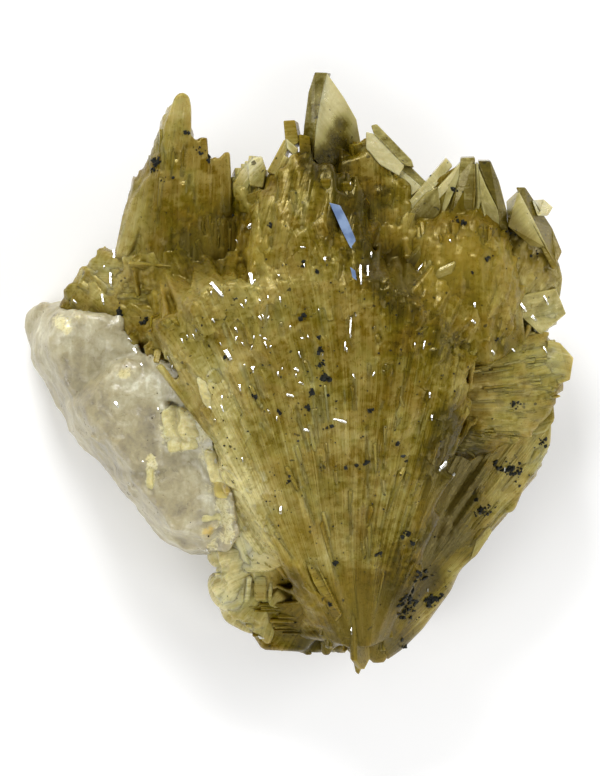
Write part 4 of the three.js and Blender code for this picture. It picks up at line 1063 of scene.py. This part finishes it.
class SPECIMEN_OT_seams(bpy.types.Operator):
    """Grow small blades across the seams between the sheaves"""
    bl_idname = "specimen.seams"
    bl_label = "Blades over the seams"

    def execute(self, context):
        colours = context.scene.specimen_colours
        surface = tree_of(*grown.values())
        small = Growth(501)
        small.along(*FAN)
        roll = small.roll
        for start, end, spread, count, way in SEAMS:
            for _ in range(count):
                place = np.array(start) + (np.array(end) - np.array(start)) * roll.random()
                place = place + np.array([roll.gauss(0, spread), roll.gauss(0, spread)]) * 0.7
                ahead = unit(place - FAN_HEART if way is None else np.array(way))
                turn = roll.gauss(0, 0.25)
                ahead = np.array([ahead[0] * math.cos(turn) - ahead[1] * math.sin(turn),
                                  ahead[0] * math.sin(turn) + ahead[1] * math.cos(turn)])
                half = ahead * (0.7 + 2.2 * roll.random() ** 2)
                low, high = drop(surface, *(place - half)), drop(surface, *(place + half))
                if low is None or high is None or min(low[2], high[2]) < SEAM_FLOOR:
                    continue
                wide = 0.5 + 1.1 * roll.random() ** 2
                small.lay(small.short, low, high, depth=1.8, thick=(wide, wide * 0.8),
                          lift=0.3 * roll.random() - 0.05, lean=roll.gauss(0, 0.25), cut=0.4 + 0.8 * roll.random(),
                          slant=0.2 + 0.8 * roll.random())
        small.fuse(0.34, 1)
        small.piece("seam_blades", barite_finish("seam_barite", colours, lift=0.02, top=(0.7, 0.63, 0.3)))
        return {"FINISHED"}


STRIPES = 10     # level blades on the ledge


def stripe(x, y, long, wide):
    """The corners of a thin level blade, by its upper left corner, length and width."""
    return [(x, y, 12), (x + long, y + 0.2, 12), (x + long, y - wide, 12), (x, y - wide, 12)]


class SPECIMEN_OT_lower_left(bpy.types.Operator):
    """Grow the pale blades at the lower left and the brown ledge by the root"""
    bl_idname = "specimen.lower_left"
    bl_label = "Pale blades and ledge"

    def execute(self, context):
        colours = context.scene.specimen_colours
        pale = Growth(71)
        for roots, tips in (
                ([(-5, -31, 16), (0, -29, 18)], [(-11.6, -17, 21), (-9.4, -12, 22.5), (-6, -13.5, 24)]),
                ([(-1.4, -24, 17), (0, -30, 15)],
                 [(-11.4, -25.4, 18), (-12.2, -31, 15), (-10.6, -34, 13), (-7.4, -36.6, 11.5), (-5, -38, 10)])):
            pale.along(roots, tips)
            pale.comb(22, 6, (1.4, 1.5), 0.6, 1.4, 0.1, 0.5)
            pale.shingle(110, (1.0, 1.2), 0.6, (0.2, 1.0), (0.15, 0.5), lean=0.5, swing=0.12)
            pale.fuse(0.34)
            pale.shingle(24, (0.6, 1.0), 0.6, (0.2, 1.0), (0.08, 0.3), rise=(0, 0.3), lean=0.3, swing=0.15)
        pale.slabs([
            (0.9, [(-13.1, -25.2, 13.2), (-9.7, -23.1, 18), (-5.2, -23.6, 21.4), (-0.8, -24.4, 23),
                (-1.4, -26.8, 22.4), (-4.3, -28, 19.8), (-10, -28.2, 16), (-12.8, -27.1, 13.4)]),
            (0.9, [(-12.8, -28.7, 13.4), (-10, -28.2, 15.8), (-7.3, -28.2, 17.6), (-7.6, -32.4, 15.4),
                (-9.7, -34, 13.8), (-12, -32.8, 13), (-13, -30.5, 12.8)])], (0, 0.6, -5), 0.6)
        pale.slab([(-11.4, -32.8, 12.6), (-7.5, -31.9, 14.6), (-5.2, -33.7, 12), (-5.2, -37.1, 9.6),
            (-7.5, -36.8, 9.6), (-10.6, -35.1, 10.4)], (0, 0.4, -4), 0.7, 0.5)
        pale.along([(0, -29, 16), (1, -31, 16)], [(-12.8, -23.5, 13), (-13, -30.5, 13), (-8.3, -34.8, 13)])
        pale.fuse(0.34, 6)
        pale.slabs([
            (1.6, [(-7.5, -28.5, 17), (-6.6, -28.5, 17.2), (-7, -32.2, 15.4), (-7.9, -32.3, 15.2)]),
            (0.5, [(-6.3, -28.3, 17.2), (-4.4, -28.3, 17.6), (-4.6, -32, 16), (-6.3, -32, 15.6)]),
            (1.4, [(-4.2, -28.6, 17.8), (-3.5, -28.6, 17.8), (-3.9, -32, 16.2), (-4.5, -32, 16)])], (0, 0.6, -2.6),
                0.3, proud=0.3)
        pale.piece("pale_blades", barite_finish("pale_barite", colours, lift=0.18, contrast=0.6,
            top=(0.68, 0.61, 0.32)), "lower_left_blades", "pale_barite")
        ledge = Growth(81)
        ledge.along([(6, -30, 12), (7.4, -36, 10)], [(-4.2, -32.4, 12.5), (-4.6, -37.6, 9), (-1, -39, 8),
            (3, -39.6, 8.4), (5.6, -39.8, 8)])
        ledge.comb(20, 6, (1.4, 1.5), 0.4, 1.2, 0.06, 0.5)
        ledge.shingle(80, (1.0, 1.2), 0.4, (0.2, 1.0), (0.15, 0.5), lean=0.4, swing=0.12)
        ledge.fuse(0.34)
        ledge.shingle(40, (0.6, 0.8), 0.5, (0.2, 1.0), (0.08, 0.3), lean=0.5, swing=0.2)
        ledge.slab([(-7.8, -32.7, 14.4), (-2, -32.1, 16), (3.2, -31.5, 18), (4.4, -35.4, 14.6), (0.8, -39.4, 10),
            (-5.2, -39.1, 9.4), (-7.5, -35.5, 11)], (0, 0, -4), 0.3, 0.4)
        ledge.fuse(0.34, 2)
        roll = ledge.roll
        for _ in range(STRIPES):
            corners = stripe(roll.uniform(-6.76, -1.24), roll.uniform(-32.114, -37.634),
                             roll.uniform(2.484, 6.624), roll.uniform(0.276, 0.69))
            ledge.slab(corners, (0, 0.2, -1.4), roll.uniform(0.25, 0.75), 0.1, proud=0.05)
        ledge.slab([(-6.6, -36.3, 9.8), (-5.2, -37.1, 9.6), (-2.1, -38.8, 9), (-2.3, -39.4, 8.4), (-5.5, -37.9, 8.6)],
            (0, 0.4, -2), 1.6)
        ledge.piece("ledge", barite_finish("ledge_barite", colours, lift=-0.08), "root_ledge")
        return {"FINISHED"}


# Where the calcite is crusty, rusty, chalky or grey, as points like those of the barite.
CRUST = [
    (-13.4, -7.2, 1.8, 0.8), (-12.6, -11.4, 1.6, 0.7), (-13.3, -2.6, 1.4, 0.8), (-11.9, -16, 1.2, 0.6),
    (-17.4, -5.8, 1.6, 0.9), (-14.9, -6.5, 1.8, 0.9), (-16.9, -9.3, 2, 0.95), (-13.8, -8.2, 1.6, 0.7),
    (-18.3, -7.9, 1.4, 0.7), (-13.1, -1.6, 1.2, 0.95), (-12.8, -3.7, 1.1, 0.95), (-13.6, 0.2, 0.9, 0.7),
    (-20.6, -11.8, 0.7, 1.0), (-20.7, -12.8, 0.7, 1.0), (-20.7, -13.8, 0.7, 1.0), (-20.7, -14.8, 0.7, 0.9),
    (-20.9, -15.8, 0.6, 0.8), (-33.6, 7.3, 1.3, 0.8), (-32.5, 6.1, 1.0, 0.6), (-31.1, 8.1, 1.2, 0.5),
    (-24.8, -0.1, 1.0, 0.7), (-23.7, 0.2, 1.0, 0.5), (-10.8, -18.4, 1.2, 0.9), (-10.2, -20.5, 1.4, 0.95),
    (-9.9, -22.8, 1.2, 0.9), (-11, -14.2, 1.2, 0.6), (-25.2, 6.8, 0.9, 0.5), (-12, -24.1, 1.2, 0.6),
    (-13.2, -22.2, 0.8, 0.5), (-23, -16.4, 0.9, 0.4), (-27.9, -9.3, 1.2, 0.2)]
RUST = [
    (-11.2, -15.9, 1.2, 0.9), (-10.4, -16.6, 1.0, 0.9), (-12.5, -21.9, 0.9, 0.7), (-13, -9.3, 0.8, 0.6),
    (-12.9, -22.4, 0.8, 0.6)]
CHALK = [
    (-13.8, -4, 2.4, 0.8), (-13, -8.2, 2.2, 0.9), (-12.7, -12.1, 2.0, 0.9), (-33.6, 4, 2.4, 0.4),
    (-30.1, 5.4, 3, 0.4), (-25.5, -4.3, 1.0, 1.0), (-35.8, 6.1, 2.4, 0.3), (-20.9, -2.3, 2.2, 0.7),
    (-23.7, -1.2, 1.8, 0.7), (-17.3, -2.9, 1.8, 0.8), (-15.5, -0.9, 1.6, 0.7), (-19.4, 0.2, 1.4, 0.5),
    (-22.7, 4, 1.4, 0.5), (-14.6, -14.9, 1.8, 0.3), (-16.7, -7.2, 3, 0.6), (-18.8, -21.3, 2.4, 0.2),
    (-27.2, -0.9, 2.4, 0.3), (-25.8, 3.3, 2.4, 0.3), (-23.7, -7.2, 1.6, 0.4), (-13.2, -17.7, 1.4, 0.5),
    (-16.7, -12.8, 2, 0.2)]
GREY = [
    (-24.8, -7.2, 3.6, 0.8), (-28.6, -4, 3, 0.5), (-22.3, -11.8, 3, 0.5), (-31.5, 1.2, 2.6, 0.4),
    (-26.7, -13.9, 2.6, 0.4), (-19.5, -17.7, 3, 0.3), (-20.9, -7.2, 2, 0.4)]
# The line from which the amber painted shade under the barite begins, as points on the calcite's edge.
CALCITE_EDGE = [
    (-35.3, 11.9), (-24, 9.5), (-20.9, 4.7), (-20, 1.6), (-12.7, 0.2), (-10.7, -5.8), (-8.8, -14.9), (-8.9, -26.2)]
# The showing faces of the calcite's cleavage steps.
CALCITE_STEPS = [
    [(-20.9, -11.4, 18.6), (-18.8, -11, 20.6), (-12.7, -11, 23.4), (-11.3, -14.9, 23.2), (-11.2, -20.5, 20.6),
        (-13.1, -24.5, 17.4), (-15.6, -25.1, 16), (-18.4, -23.4, 15.4), (-21, -18.5, 16.4)],
    [(-19, -5.1, 21.4), (-16.6, -4.4, 22.8), (-12.7, -4.5, 25.6), (-12, -9.3, 26), (-11.2, -14, 25.2),
        (-13, -13.5, 23.6), (-14.7, -11, 23), (-18.9, -10.7, 21)],
    [(-38.7, 6.8, 7), (-38.1, 8.6, 7), (-35.9, 10.1, 9.4), (-34.6, 6.2, 11), (-35.2, 2.5, 9.4), (-37.7, 3.1, 7)],
    [(-21.4, 3, 21), (-18.7, 1.3, 23.4), (-13.8, 1, 26.4), (-12, -3.4, 26.6), (-15.2, -4, 24), (-19.7, -3.4, 21.6),
        (-22.3, -0.2, 19.8)],
    [(-26.3, 0.2, 17.8), (-24.6, 1.1, 19), (-20.9, -1.6, 20.6), (-15.8, -3.1, 22.6), (-16.1, -4.3, 22),
        (-20.9, -4, 20), (-24.9, -2, 18)],
    [(-12, -14, 24.4), (-10.8, -14, 25), (-9.2, -17.7, 24), (-8.7, -22.2, 21.4), (-10, -24.8, 18.8),
        (-12.2, -24.5, 17.4), (-11.8, -19.8, 20.6)],
    [(-14.3, 0.2, 24.2), (-13.3, 1, 24.8), (-12, -3.4, 25), (-12.4, -5.1, 24.6), (-13.7, -4.3, 24)],
    [(-15, -20, 20.6), (-11.1, -20.2, 21), (-10.8, -24.1, 18.2), (-13.1, -25.1, 17), (-15.3, -23.4, 18.2)]]
# Crusty blocks where barite meets calcite: tone and corners of the showing face.
CRUST_BLOCKS = [
    (0.5, [(-19.2, -5.4), (-17.9, -4.4), (-16.5, -4.8), (-16.4, -8.7), (-18.8, -8.9)]),
    (0.35, [(-18.9, -8.5), (-16.4, -8.2), (-16.2, -10.6), (-18.2, -11.1)]),
    (0.2, [(-16.7, -4.8), (-13, -5.4), (-12.6, -7.1), (-16.7, -7.3)]),
    (0.35, [(-16.8, -6.8), (-12.3, -6.8), (-12.8, -8.7), (-16.7, -8.7)]),
    (0.1, [(-16.5, -8.3), (-13, -8.3), (-13.3, -10.5), (-16.4, -10.7)]),
    (0.75, [(-14.1, 1), (-13.2, 1.3), (-12, -1.8), (-11.7, -4.5), (-12.8, -5), (-13.9, -2.6)]),
    (0.6, [(-21, -11.1), (-20.3, -11), (-20.5, -16.3), (-21.3, -15.8)]),
    (1.1, [(-11.9, -14.9), (-10.2, -15.3), (-10, -17.4), (-11.6, -17.3)]),
    (0.3, [(-13.1, -10.8), (-11.6, -10.7), (-10.5, -14.9), (-12.3, -15.2)]),
    (0.1, [(-15.3, -20.1), (-10.9, -19.5), (-10.8, -20.5), (-15, -21.1)])]


class SPECIMEN_OT_calcite(bpy.types.Operator):
    """Wear the calcite's blocks into milky lumps"""
    bl_idname = "specimen.calcite"
    bl_label = "Calcite"

    def execute(self, context):
        sizes, colours = context.scene.specimen_sizes, context.scene.specimen_colours
        steps = Growth(7)
        steps.slabs([(0.5, corners) for corners in CALCITE_STEPS], (0.4, 0, -8), 0.3)
        surface, roll, crumb = tree_of(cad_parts["calcite_matrix"]), steps.roll, model_crumb()
        for _ in range(sizes.calcite_blocks):
            hit = drop(surface, roll.uniform(-35, -10), roll.uniform(-22, 10))
            size = roll.uniform(1.8, 3.6)
            if hit is not None and all(drop(surface, hit[0] + x, hit[1] + y) is not None for x, y in (
                    (size * 1.5, 0), (-size * 1.5, 0), (0, size * 1.5), (0, -size * 1.5))):
                strew(steps, crumb, hit - (0, 0, size * 0.68), size, 0.12)
        for x, y, reach, strength in CRUST:
            for _ in range(int(26 * reach * strength)):
                hit = drop(surface, x + roll.gauss(0, reach * 0.5), y + roll.gauss(0, reach * 0.5))
                if hit is not None:
                    strew(steps, crumb, hit - (0, 0, 0.2), roll.uniform(0.3, 0.9))
        blocks = steps.piece("calcite_steps", None, slot="calcite")
        deselect()
        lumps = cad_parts["calcite_matrix"].copy()
        lumps.data = lumps.data.copy()
        lumps.name = lumps.data.name = "milky_calcite"
        lumps.data.materials.clear()
        context.collection.objects.link(lumps)
        lumps.select_set(True)
        context.view_layer.objects.active = lumps
        bpy.ops.object.mode_set(mode="EDIT")
        bpy.ops.mesh.select_all(action="SELECT")
        bpy.ops.mesh.remove_doubles(threshold=1e-6)
        bpy.ops.object.mode_set(mode="OBJECT")
        blocks.select_set(True)
        bpy.ops.object.join()
        del grown["calcite_steps"]
        wear(lumps, sizes.calcite_grain * MM, 2)
        pit(lumps, 0.006, 0.0012)
        pit(lumps, 0.0016, 0.0003)
        for vert in lumps.data.vertices:
            vert.co.z = max(vert.co.z, 0.0)
        bpy.ops.object.shade_smooth_by_angle(angle=math.radians(40))
        points = np.array([tuple(vert.co) for vert in lumps.data.vertices]) / MM
        edge_y, edge_x = zip(*sorted((y, x) for x, y in CALCITE_EDGE))
        inside = points[:, 0] - np.interp(points[:, 1], edge_y, edge_x)
        # The amber painted shade grows over 4 millimetres in from the calcite's edge, under the barite.
        mark(lumps.data, crust=zone(CRUST, points), rust=zone(RUST, points), pale=zone(CHALK, points),
             deep=zone(GREY, points), stain=np.clip(inside / 4, 0, 1))
        lumps.data.materials.clear()
        lumps.data.materials.append(calcite_finish(colours))
        settle(lumps, "calcite_matrix")

        crusty = Growth(19)
        crusty.along(*FAN)
        crusty.tree = tree_of(*grown.values())
        crusty.slabs([
            (tone, [(x, y, 25) for x, y in corners]) for tone, corners in CRUST_BLOCKS], (0, 0, -2), 0.15, 0.15)
        crusty.fuse(0.24, 2)
        crust = crusty.piece("crust_blocks", crust_finish(), slot="calcite")
        deselect()
        context.view_layer.objects.active = crust
        pit(crust, 0.0014, 0.0006)
        return {"FINISHED"}


# Painted glints, small whitish faces turned to catch the lamp: place, length, width and turn in degrees, and how many
# more are strewn.
SPARKLES = 44
PAINTED_GLINT_SPOTS = [
    (-11.4, 11.6, 3.2, 0.9, 35), (-6.6, 13, 2.4, 0.9, 12), (-10, 2.8, 2.6, 1.0, 30), (7.2, 6.6, 3.8, 0.35, 0),
    (8.6, 13.7, 3.4, 0.7, 4), (9.6, 13.8, 3.0, 0.5, 4), (10.1, 16.6, 1.1, 0.5, 0), (0.1, 2.6, 0.9, 0.4, 20),
    (-0.3, 0.5, 0.8, 0.6, 60), (-2.9, -0.1, 0.6, 0.5, 0), (-6.4, 0.5, 0.9, 0.5, 10), (-1.2, -3.1, 1.2, 0.5, 70),
    (-8.2, -2, 0.9, 0.5, 10), (-3.1, -6.3, 0.6, 0.4, 0), (1, -7.9, 1.0, 0.5, 80), (5.7, -6.6, 2.3, 0.5, 70),
    (-10.7, -3.4, 0.6, 0.5, 0), (-26, 16.6, 1.8, 0.6, 5), (-26.5, 13.7, 3.6, 0.9, 5), (-27.6, 10.4, 1.8, 0.5, 10),
    (-7.4, 9.9, 0.5, 0.4, 0), (-4.3, 10.5, 0.6, 0.3, 0), (-2.6, 10.2, 1.0, 0.35, 10), (20, -12.9, 2.0, 0.8, -30),
    (21.6, -14.3, 0.9, 0.6, -30), (18.2, -3, 0.8, 0.5, 0), (18.5, -6.2, 0.8, 0.5, 0), (17.4, 3.9, 1.3, 0.4, -10),
    (27, 3, 0.9, 0.6, 50), (29.9, 3.3, 0.9, 0.6, 50), (24.5, 9.5, 0.7, 0.5, 0), (24.3, 7.2, 0.8, 0.5, 60),
    (31.1, 9.6, 2.6, 0.6, 35), (34.5, 10.6, 2.4, 0.5, 25), (32.9, 7.8, 1.4, 0.9, 40), (-25.5, -4.4, 1.1, 1.0, 30),
    (-22.9, 3, 1.4, 0.5, 30), (-2.5, -18.8, 1.8, 0.6, -8), (-5.4, -37.3, 1.8, 0.4, 60), (7.4, -36, 1.4, 0.35, 0),
    (-10.7, -4.8, 1.4, 0.5, 20), (3.6, 15.8, 0.7, 0.5, 0), (0.6, 17.5, 0.8, 0.3, 80), (-6.7, 20.8, 1.6, 0.4, -50),
    (16.9, 14.7, 1.6, 0.3, -30), (7.2, 26.5, 0.5, 0.4, 0), (-9.5, -23.5, 0.8, 0.5, 0), (-13, -24.6, 0.9, 0.5, 20),
    (16.1, 3.9, 0.6, 0.3, 0), (6.4, 3.9, 1.6, 0.3, 0), (-4.6, 3.9, 1.0, 0.3, 20), (-8.7, 6, 0.8, 0.4, 30),
    (-5.4, 7.7, 0.7, 0.5, 40), (-1.2, 6.3, 0.6, 0.3, 0), (-12, 7.4, 0.9, 0.4, 40), (-14.3, 6, 0.6, 0.4, 0),
    (-17.7, 1, 0.8, 0.4, 0), (-23.7, 4.7, 0.8, 0.4, 45), (-22, 1.1, 0.7, 0.5, 30), (-19.7, -5.1, 0.6, 0.3, 0),
    (18.2, -30.5, 0.5, 0.4, 0), (17.3, -38.9, 0.7, 0.3, 0), (34.5, 3.3, 1.0, 0.5, 30), (28.9, -13.5, 0.5, 0.4, 0)]


class SPECIMEN_OT_bright_faces(bpy.types.Operator):
    """Set the painted glints, small whitish faces turned to catch the lamp, and the cleavage face in the hollow with
    its painted blue reflection
    """
    bl_idname = "specimen.bright_faces"
    bl_label = "Bright faces"

    def execute(self, context):
        surface = tree_of(*grown.values())
        bright = Growth(401)
        plate = model_plate((0.5,), 0.3, 0.8)
        lamp, eye = unit(np.array(KEY_PLACE)), np.array([0.0, 0.0, 1.0])
        roll = bright.roll
        sparkles = [(roll.gauss(-3, 11), roll.gauss(5, 9), 0.3 + 0.5 * roll.random() ** 2, 0.25, roll.gauss(10, 30))
                    for _ in range(SPARKLES)]
        for x, y, long, wide, turn in PAINTED_GLINT_SPOTS + sparkles:
            long, wide = long * 0.85, wide * (0.5 + 0.4 * roll.random())
            hit = drop(surface, x, y)
            if hit is None:
                continue
            # Each glint face is turned halfway between the key lamp and the camera, so that it mirrors the lamp.
            up = unit(lamp + eye + np.array([roll.gauss(0, 0.05), roll.gauss(0, 0.05), 0]))
            way = np.array([math.sin(math.radians(turn)), -math.cos(math.radians(turn)), 0.0])
            way = unit(way - up * (way @ up))
            middle = hit + up * 0.25
            bright.lay(plate, middle - way * long / 2, middle + way * long / 2, up, depth=0.9,
                       thick=(wide * 0.8, wide * 0.5), cut=0.3)
        bright.piece("bright_faces", painted_glint_finish(), slot="clear_barite")
        painted_reflection_slab = Growth(402)
        painted_reflection_slab.tree = surface
        # Painted reflection: a slab over the hollow coloured blue-grey, as if it mirrored a blue sky.
        painted_reflection_slab.slab([(4.2, 23.8, 25), (5.7, 23.4, 24.8), (6.8, 21.3, 25), (8, 18.4, 25.4), (8, 16.7, 25.8),
            (7.1, 17.6, 25.9), (5.9, 20, 25.6), (4.9, 22.3, 25.2)], (0.2, 0, -2.4), 0.5, 0.05, proud=0.45)
        painted_reflection_slab.slab([(7.1, 14.8, 27), (7.8, 14.3, 27), (8.1, 12.7, 27), (7.4, 13.4, 27)], (0.1, 0, -1.6), 0.5, 0.05,
            proud=0.3)
        painted_reflection_slab.piece("painted_blue_reflection", painted_reflection_finish(), slot="clear_barite")
        return {"FINISHED"}


# Grains of chalcopyrite: place, reach of the cluster in millimetres and number of grains.
GRAINS = [
    (2.9, 3.5, 0.9, 5), (3.2, 1.4, 0.9, 6), (3.7, -0.6, 0.8, 9), (1.8, -2.3, 0.6, 5), (1.9, -3.1, 0.6, 4),
    (3.9, -3.1, 0.4, 2), (1.1, -4.9, 0.6, 5), (-6, -3.3, 0.6, 4), (-9, 10.2, 0.6, 4), (0.8, 8.1, 0.8, 5),
    (0.3, 7.7, 0.5, 3), (4, -7.6, 0.5, 3), (-2.9, -5.5, 0.4, 3), (-1.3, -14.8, 0.7, 4), (9.2, -12.3, 0.5, 3),
    (7.8, -12.7, 0.4, 2), (6.5, -13.1, 0.4, 2), (9.9, -5.1, 0.5, 3), (-25.2, 8.7, 1.1, 9), (-21.9, 7.2, 0.9, 7),
    (-20, 29.7, 0.9, 20), (-20.5, 28.6, 0.7, 8), (-13.5, 31.3, 0.9, 8), (-15.7, 33.7, 0.6, 4), (-12.6, 29.9, 0.8, 7),
    (-17.5, 27.4, 0.5, 2), (-18.9, 27.1, 0.5, 3), (33.9, -9.8, 1.2, 12), (28.2, -12.8, 1.2, 10),
    (30.6, -14.1, 1.6, 18), (26.3, -19.2, 1.6, 12), (25.2, -19.5, 0.8, 5), (30.2, -4.4, 1.0, 8),
    (14.8, -22.5, 0.9, 7), (15.8, -23.9, 0.5, 3), (16.4, -28.8, 1.6, 10), (17.8, -28.5, 1.6, 10),
    (15.4, -32, 1.4, 12), (16, -33.4, 1.6, 14), (14.6, -38.5, 1.2, 8), (18.1, -32, 1.0, 10), (19.6, -31.4, 1.2, 12),
    (18.6, -32, 1.0, 34), (15.4, -31.7, 1.4, 20), (14.7, -33.7, 1.2, 14), (26.6, 16.1, 0.8, 5), (21.8, 21.4, 0.5, 3),
    (22.9, 21.1, 0.7, 5), (21.8, 25.6, 0.5, 3), (29.6, 19.8, 0.9, 6), (33.1, 16.6, 0.9, 4), (-4.2, 20.7, 0.6, 3),
    (0.6, 15.1, 0.6, 3), (2.5, 14.1, 0.5, 3), (4.3, -32.2, 0.5, 3), (5, -26.8, 0.8, 5), (10.8, -25.5, 0.6, 4),
    (-10.3, 1.9, 0.4, 2), (-9.4, 22.2, 0.4, 1), (13.3, -9.3, 0.8, 4), (14.7, -12, 0.5, 3), (13, 3.2, 0.5, 2),
    (27.7, 4.7, 0.8, 5), (24.1, 14, 0.5, 3)]

# The nodes of the large clusters, each with its number of large grains and of all its grains.
CLUSTERS = {
    "chalcopyrite_root_crystal": (5, 26), "chalcopyrite_root_cluster": (2, 18), "chalcopyrite_plate_low": (2, 14),
    "chalcopyrite_plate_middle": (2, 20), "chalcopyrite_plate_high": (2, 14), "chalcopyrite_fan_cluster": (2, 10),
    "chalcopyrite_horn_cluster": (2, 10)}


class SPECIMEN_OT_chalcopyrite(bpy.types.Operator):
    """Strew the chalcopyrite: the seven clusters and the small grains"""
    bl_idname = "specimen.chalcopyrite"
    bl_label = "Chalcopyrite"

    def execute(self, context):
        sizes, colours = context.scene.specimen_sizes, context.scene.specimen_colours
        finish = Finish("tarnished_chalcopyrite", Metallic=0.2, Specular_IOR_Level=0.2)
        tarnish = finish.noise(finish.place(), 1.8, 3.0, 0.6)
        finish.feed(Base_Color=finish.ramp(tarnish, (0.35, colours.grain), (0.75, (0.022, 0.023, 0.015))),
                    Roughness=tarnish * 0.5 + 0.26)
        crystal = model_grain()
        surface = tree_of(*grown.values())
        roll = random.Random(201)
        for name, (large, count) in CLUSTERS.items():
            low, high = (np.array(corner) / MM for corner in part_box(name))
            cluster = Growth(len(name))
            middle, reach = (low + high) / 2, (high - low) / 2
            for i in range(count):
                away = np.array([roll.gauss(0, 0.45) for _ in range(3)]) * reach
                radius = min(reach) * (0.75 if i < large else 0.2 + 0.25 * roll.random())
                if i < large:
                    away *= 0.6
                away[2] = -abs(away[2]) * 0.3
                strew(cluster, crystal, middle + away, radius)
            cluster.piece(name.replace("chalcopyrite", "grains"), finish.material, name, "chalcopyrite")
        specks = Growth(301)
        for x, y, reach, count in GRAINS:
            for _ in range(count):
                hit = drop(surface, x + roll.gauss(0, reach * 0.42), y + roll.gauss(0, reach * 0.42))
                if hit is not None:
                    strew(specks, crystal, hit, 0.14 + 0.42 * roll.random() ** 1.5)
        for _ in range(sizes.grains):
            hit = drop(surface, roll.gauss(3, 12), roll.gauss(-6, 15))
            if hit is not None and hit[2] > GRAIN_FLOOR:
                strew(specks, crystal, hit, 0.08 + 0.16 * roll.random() ** 2)
        specks.piece("small_grains", finish.material, slot="chalcopyrite")
        return {"FINISHED"}


def strew(growth, crystal, centre, radius, tilt=None):
    """Lays one grain, a little squashed and turned at random, or only tilted if it is to lie flat."""
    places, faces = crystal
    roll = growth.roll
    up = Vector((roll.gauss(0, 1), roll.gauss(0, 1), roll.gauss(0, 1)))
    if tilt is not None:
        up = Vector((up.x * tilt, up.y * tilt, 1))
    turn = np.array(up.to_track_quat("Z", "Y").to_matrix())
    size = radius * np.array([1, 0.7 + 0.5 * roll.random(), 0.7 + 0.4 * roll.random()])
    growth.take((places * size) @ turn.T + np.array(centre), faces, roll.random())


# ---- the stage ----

# Lamps: name, place, size in metres and power in watts.
LAMPS = (("key", KEY_PLACE, 0.2, 3.6), ("fill", (0.42, -0.45, 0.42), 0.4, 2.6),
         ("left", (-0.52, -0.34, 0.4), 0.4, 2.2), ("right", (0.6, 0.12, 0.36), 0.4, 1.6))
LAMP_AIM, WORLD_LIGHT, TABLE_SIZE = (0, 0, 0.015), 0.28, 4
SENSOR, CAMERA_PLACE = 36, (0.00014, -0.00203, 1.2)
VIEW_DEPTH, VIEW_HEIGHT = 1.178, 0.10864     # from the camera to the specimen's face, and what it sees of it


class SPECIMEN_OT_stage(bpy.types.Operator):
    """Lay the pale table, light it softly and stand the camera over it"""
    bl_idname = "specimen.stage"
    bl_label = "Stage"

    def execute(self, context):
        colours = context.scene.specimen_colours
        deselect()
        bpy.ops.mesh.primitive_plane_add(size=TABLE_SIZE)
        table = context.object
        table.name = "table"
        cloth = Finish("pale_table", Roughness=0.9, Emission_Color=(1, 1, 1, 1), Emission_Strength=0.12)
        speck = cloth.noise(cloth.place(), 0.05, 2.0)
        dimmer = tuple(c * 0.985 for c in colours.table)
        cloth.feed(Base_Color=cloth.ramp(speck, (0.3, dimmer), (0.7, tuple(colours.table))))
        table.data.materials.append(cloth.material)
        for name, place, size, power in LAMPS:
            lamp = bpy.data.lights.new(name, "AREA")
            lamp.size, lamp.energy = size, power
            light = bpy.data.objects.new(name, lamp)
            light.location = place
            light.rotation_euler = (Vector(LAMP_AIM) - Vector(place)).to_track_quat("-Z", "Y").to_euler()
            context.collection.objects.link(light)
        world = bpy.data.worlds.new("soft")
        world.use_nodes = True
        sky = world.node_tree.nodes["Background"].inputs
        sky["Color"].default_value, sky["Strength"].default_value = (1, 1, 1, 1), WORLD_LIGHT
        context.scene.world = world
        view = bpy.data.cameras.new("camera")
        view.sensor_width = SENSOR
        view.lens = SENSOR * VIEW_DEPTH / VIEW_HEIGHT
        view.clip_start, view.clip_end = 0.1, 5
        camera = bpy.data.objects.new("camera", view)
        camera.location = CAMERA_PLACE
        context.collection.objects.link(camera)
        context.scene.camera = camera
        context.scene.view_settings.view_transform = "Standard"
        return {"FINISHED"}


class SPECIMEN_PT_panel(bpy.types.Panel):
    """The specimen's steps, sizes and colours"""
    bl_idname = "SPECIMEN_PT_panel"
    bl_label = "Specimen"
    bl_space_type = "VIEW_3D"
    bl_region_type = "UI"
    bl_category = "Specimen"

    def draw(self, context):
        for step in STEPS:
            self.layout.operator(step.bl_idname)
        for group in (context.scene.specimen_sizes, context.scene.specimen_colours):
            for name in group.__annotations__:
                self.layout.prop(group, name)


STEPS = (
    SPECIMEN_OT_central_fan, SPECIMEN_OT_horn, SPECIMEN_OT_middle_sheaf, SPECIMEN_OT_clear_blades,
    SPECIMEN_OT_right_sheaf, SPECIMEN_OT_right_growths, SPECIMEN_OT_lower_left, SPECIMEN_OT_seams,
    SPECIMEN_OT_calcite, SPECIMEN_OT_bright_faces, SPECIMEN_OT_chalcopyrite, SPECIMEN_OT_stage)
CLASSES = (SPECIMEN_PG_sizes, SPECIMEN_PG_colours, *STEPS, SPECIMEN_PT_panel)


def register():
    for each in CLASSES:
        bpy.utils.register_class(each)
    bpy.types.Scene.specimen_sizes = bpy.props.PointerProperty(type=SPECIMEN_PG_sizes)
    bpy.types.Scene.specimen_colours = bpy.props.PointerProperty(type=SPECIMEN_PG_colours)


def unregister():
    del bpy.types.Scene.specimen_colours
    del bpy.types.Scene.specimen_sizes
    for each in reversed(CLASSES):
        bpy.utils.unregister_class(each)


def main():
    register()
    for step in STEPS:
        group, name = step.bl_idname.split(".")
        getattr(getattr(bpy.ops, group), name)()


if __name__ == "__main__":
    main()
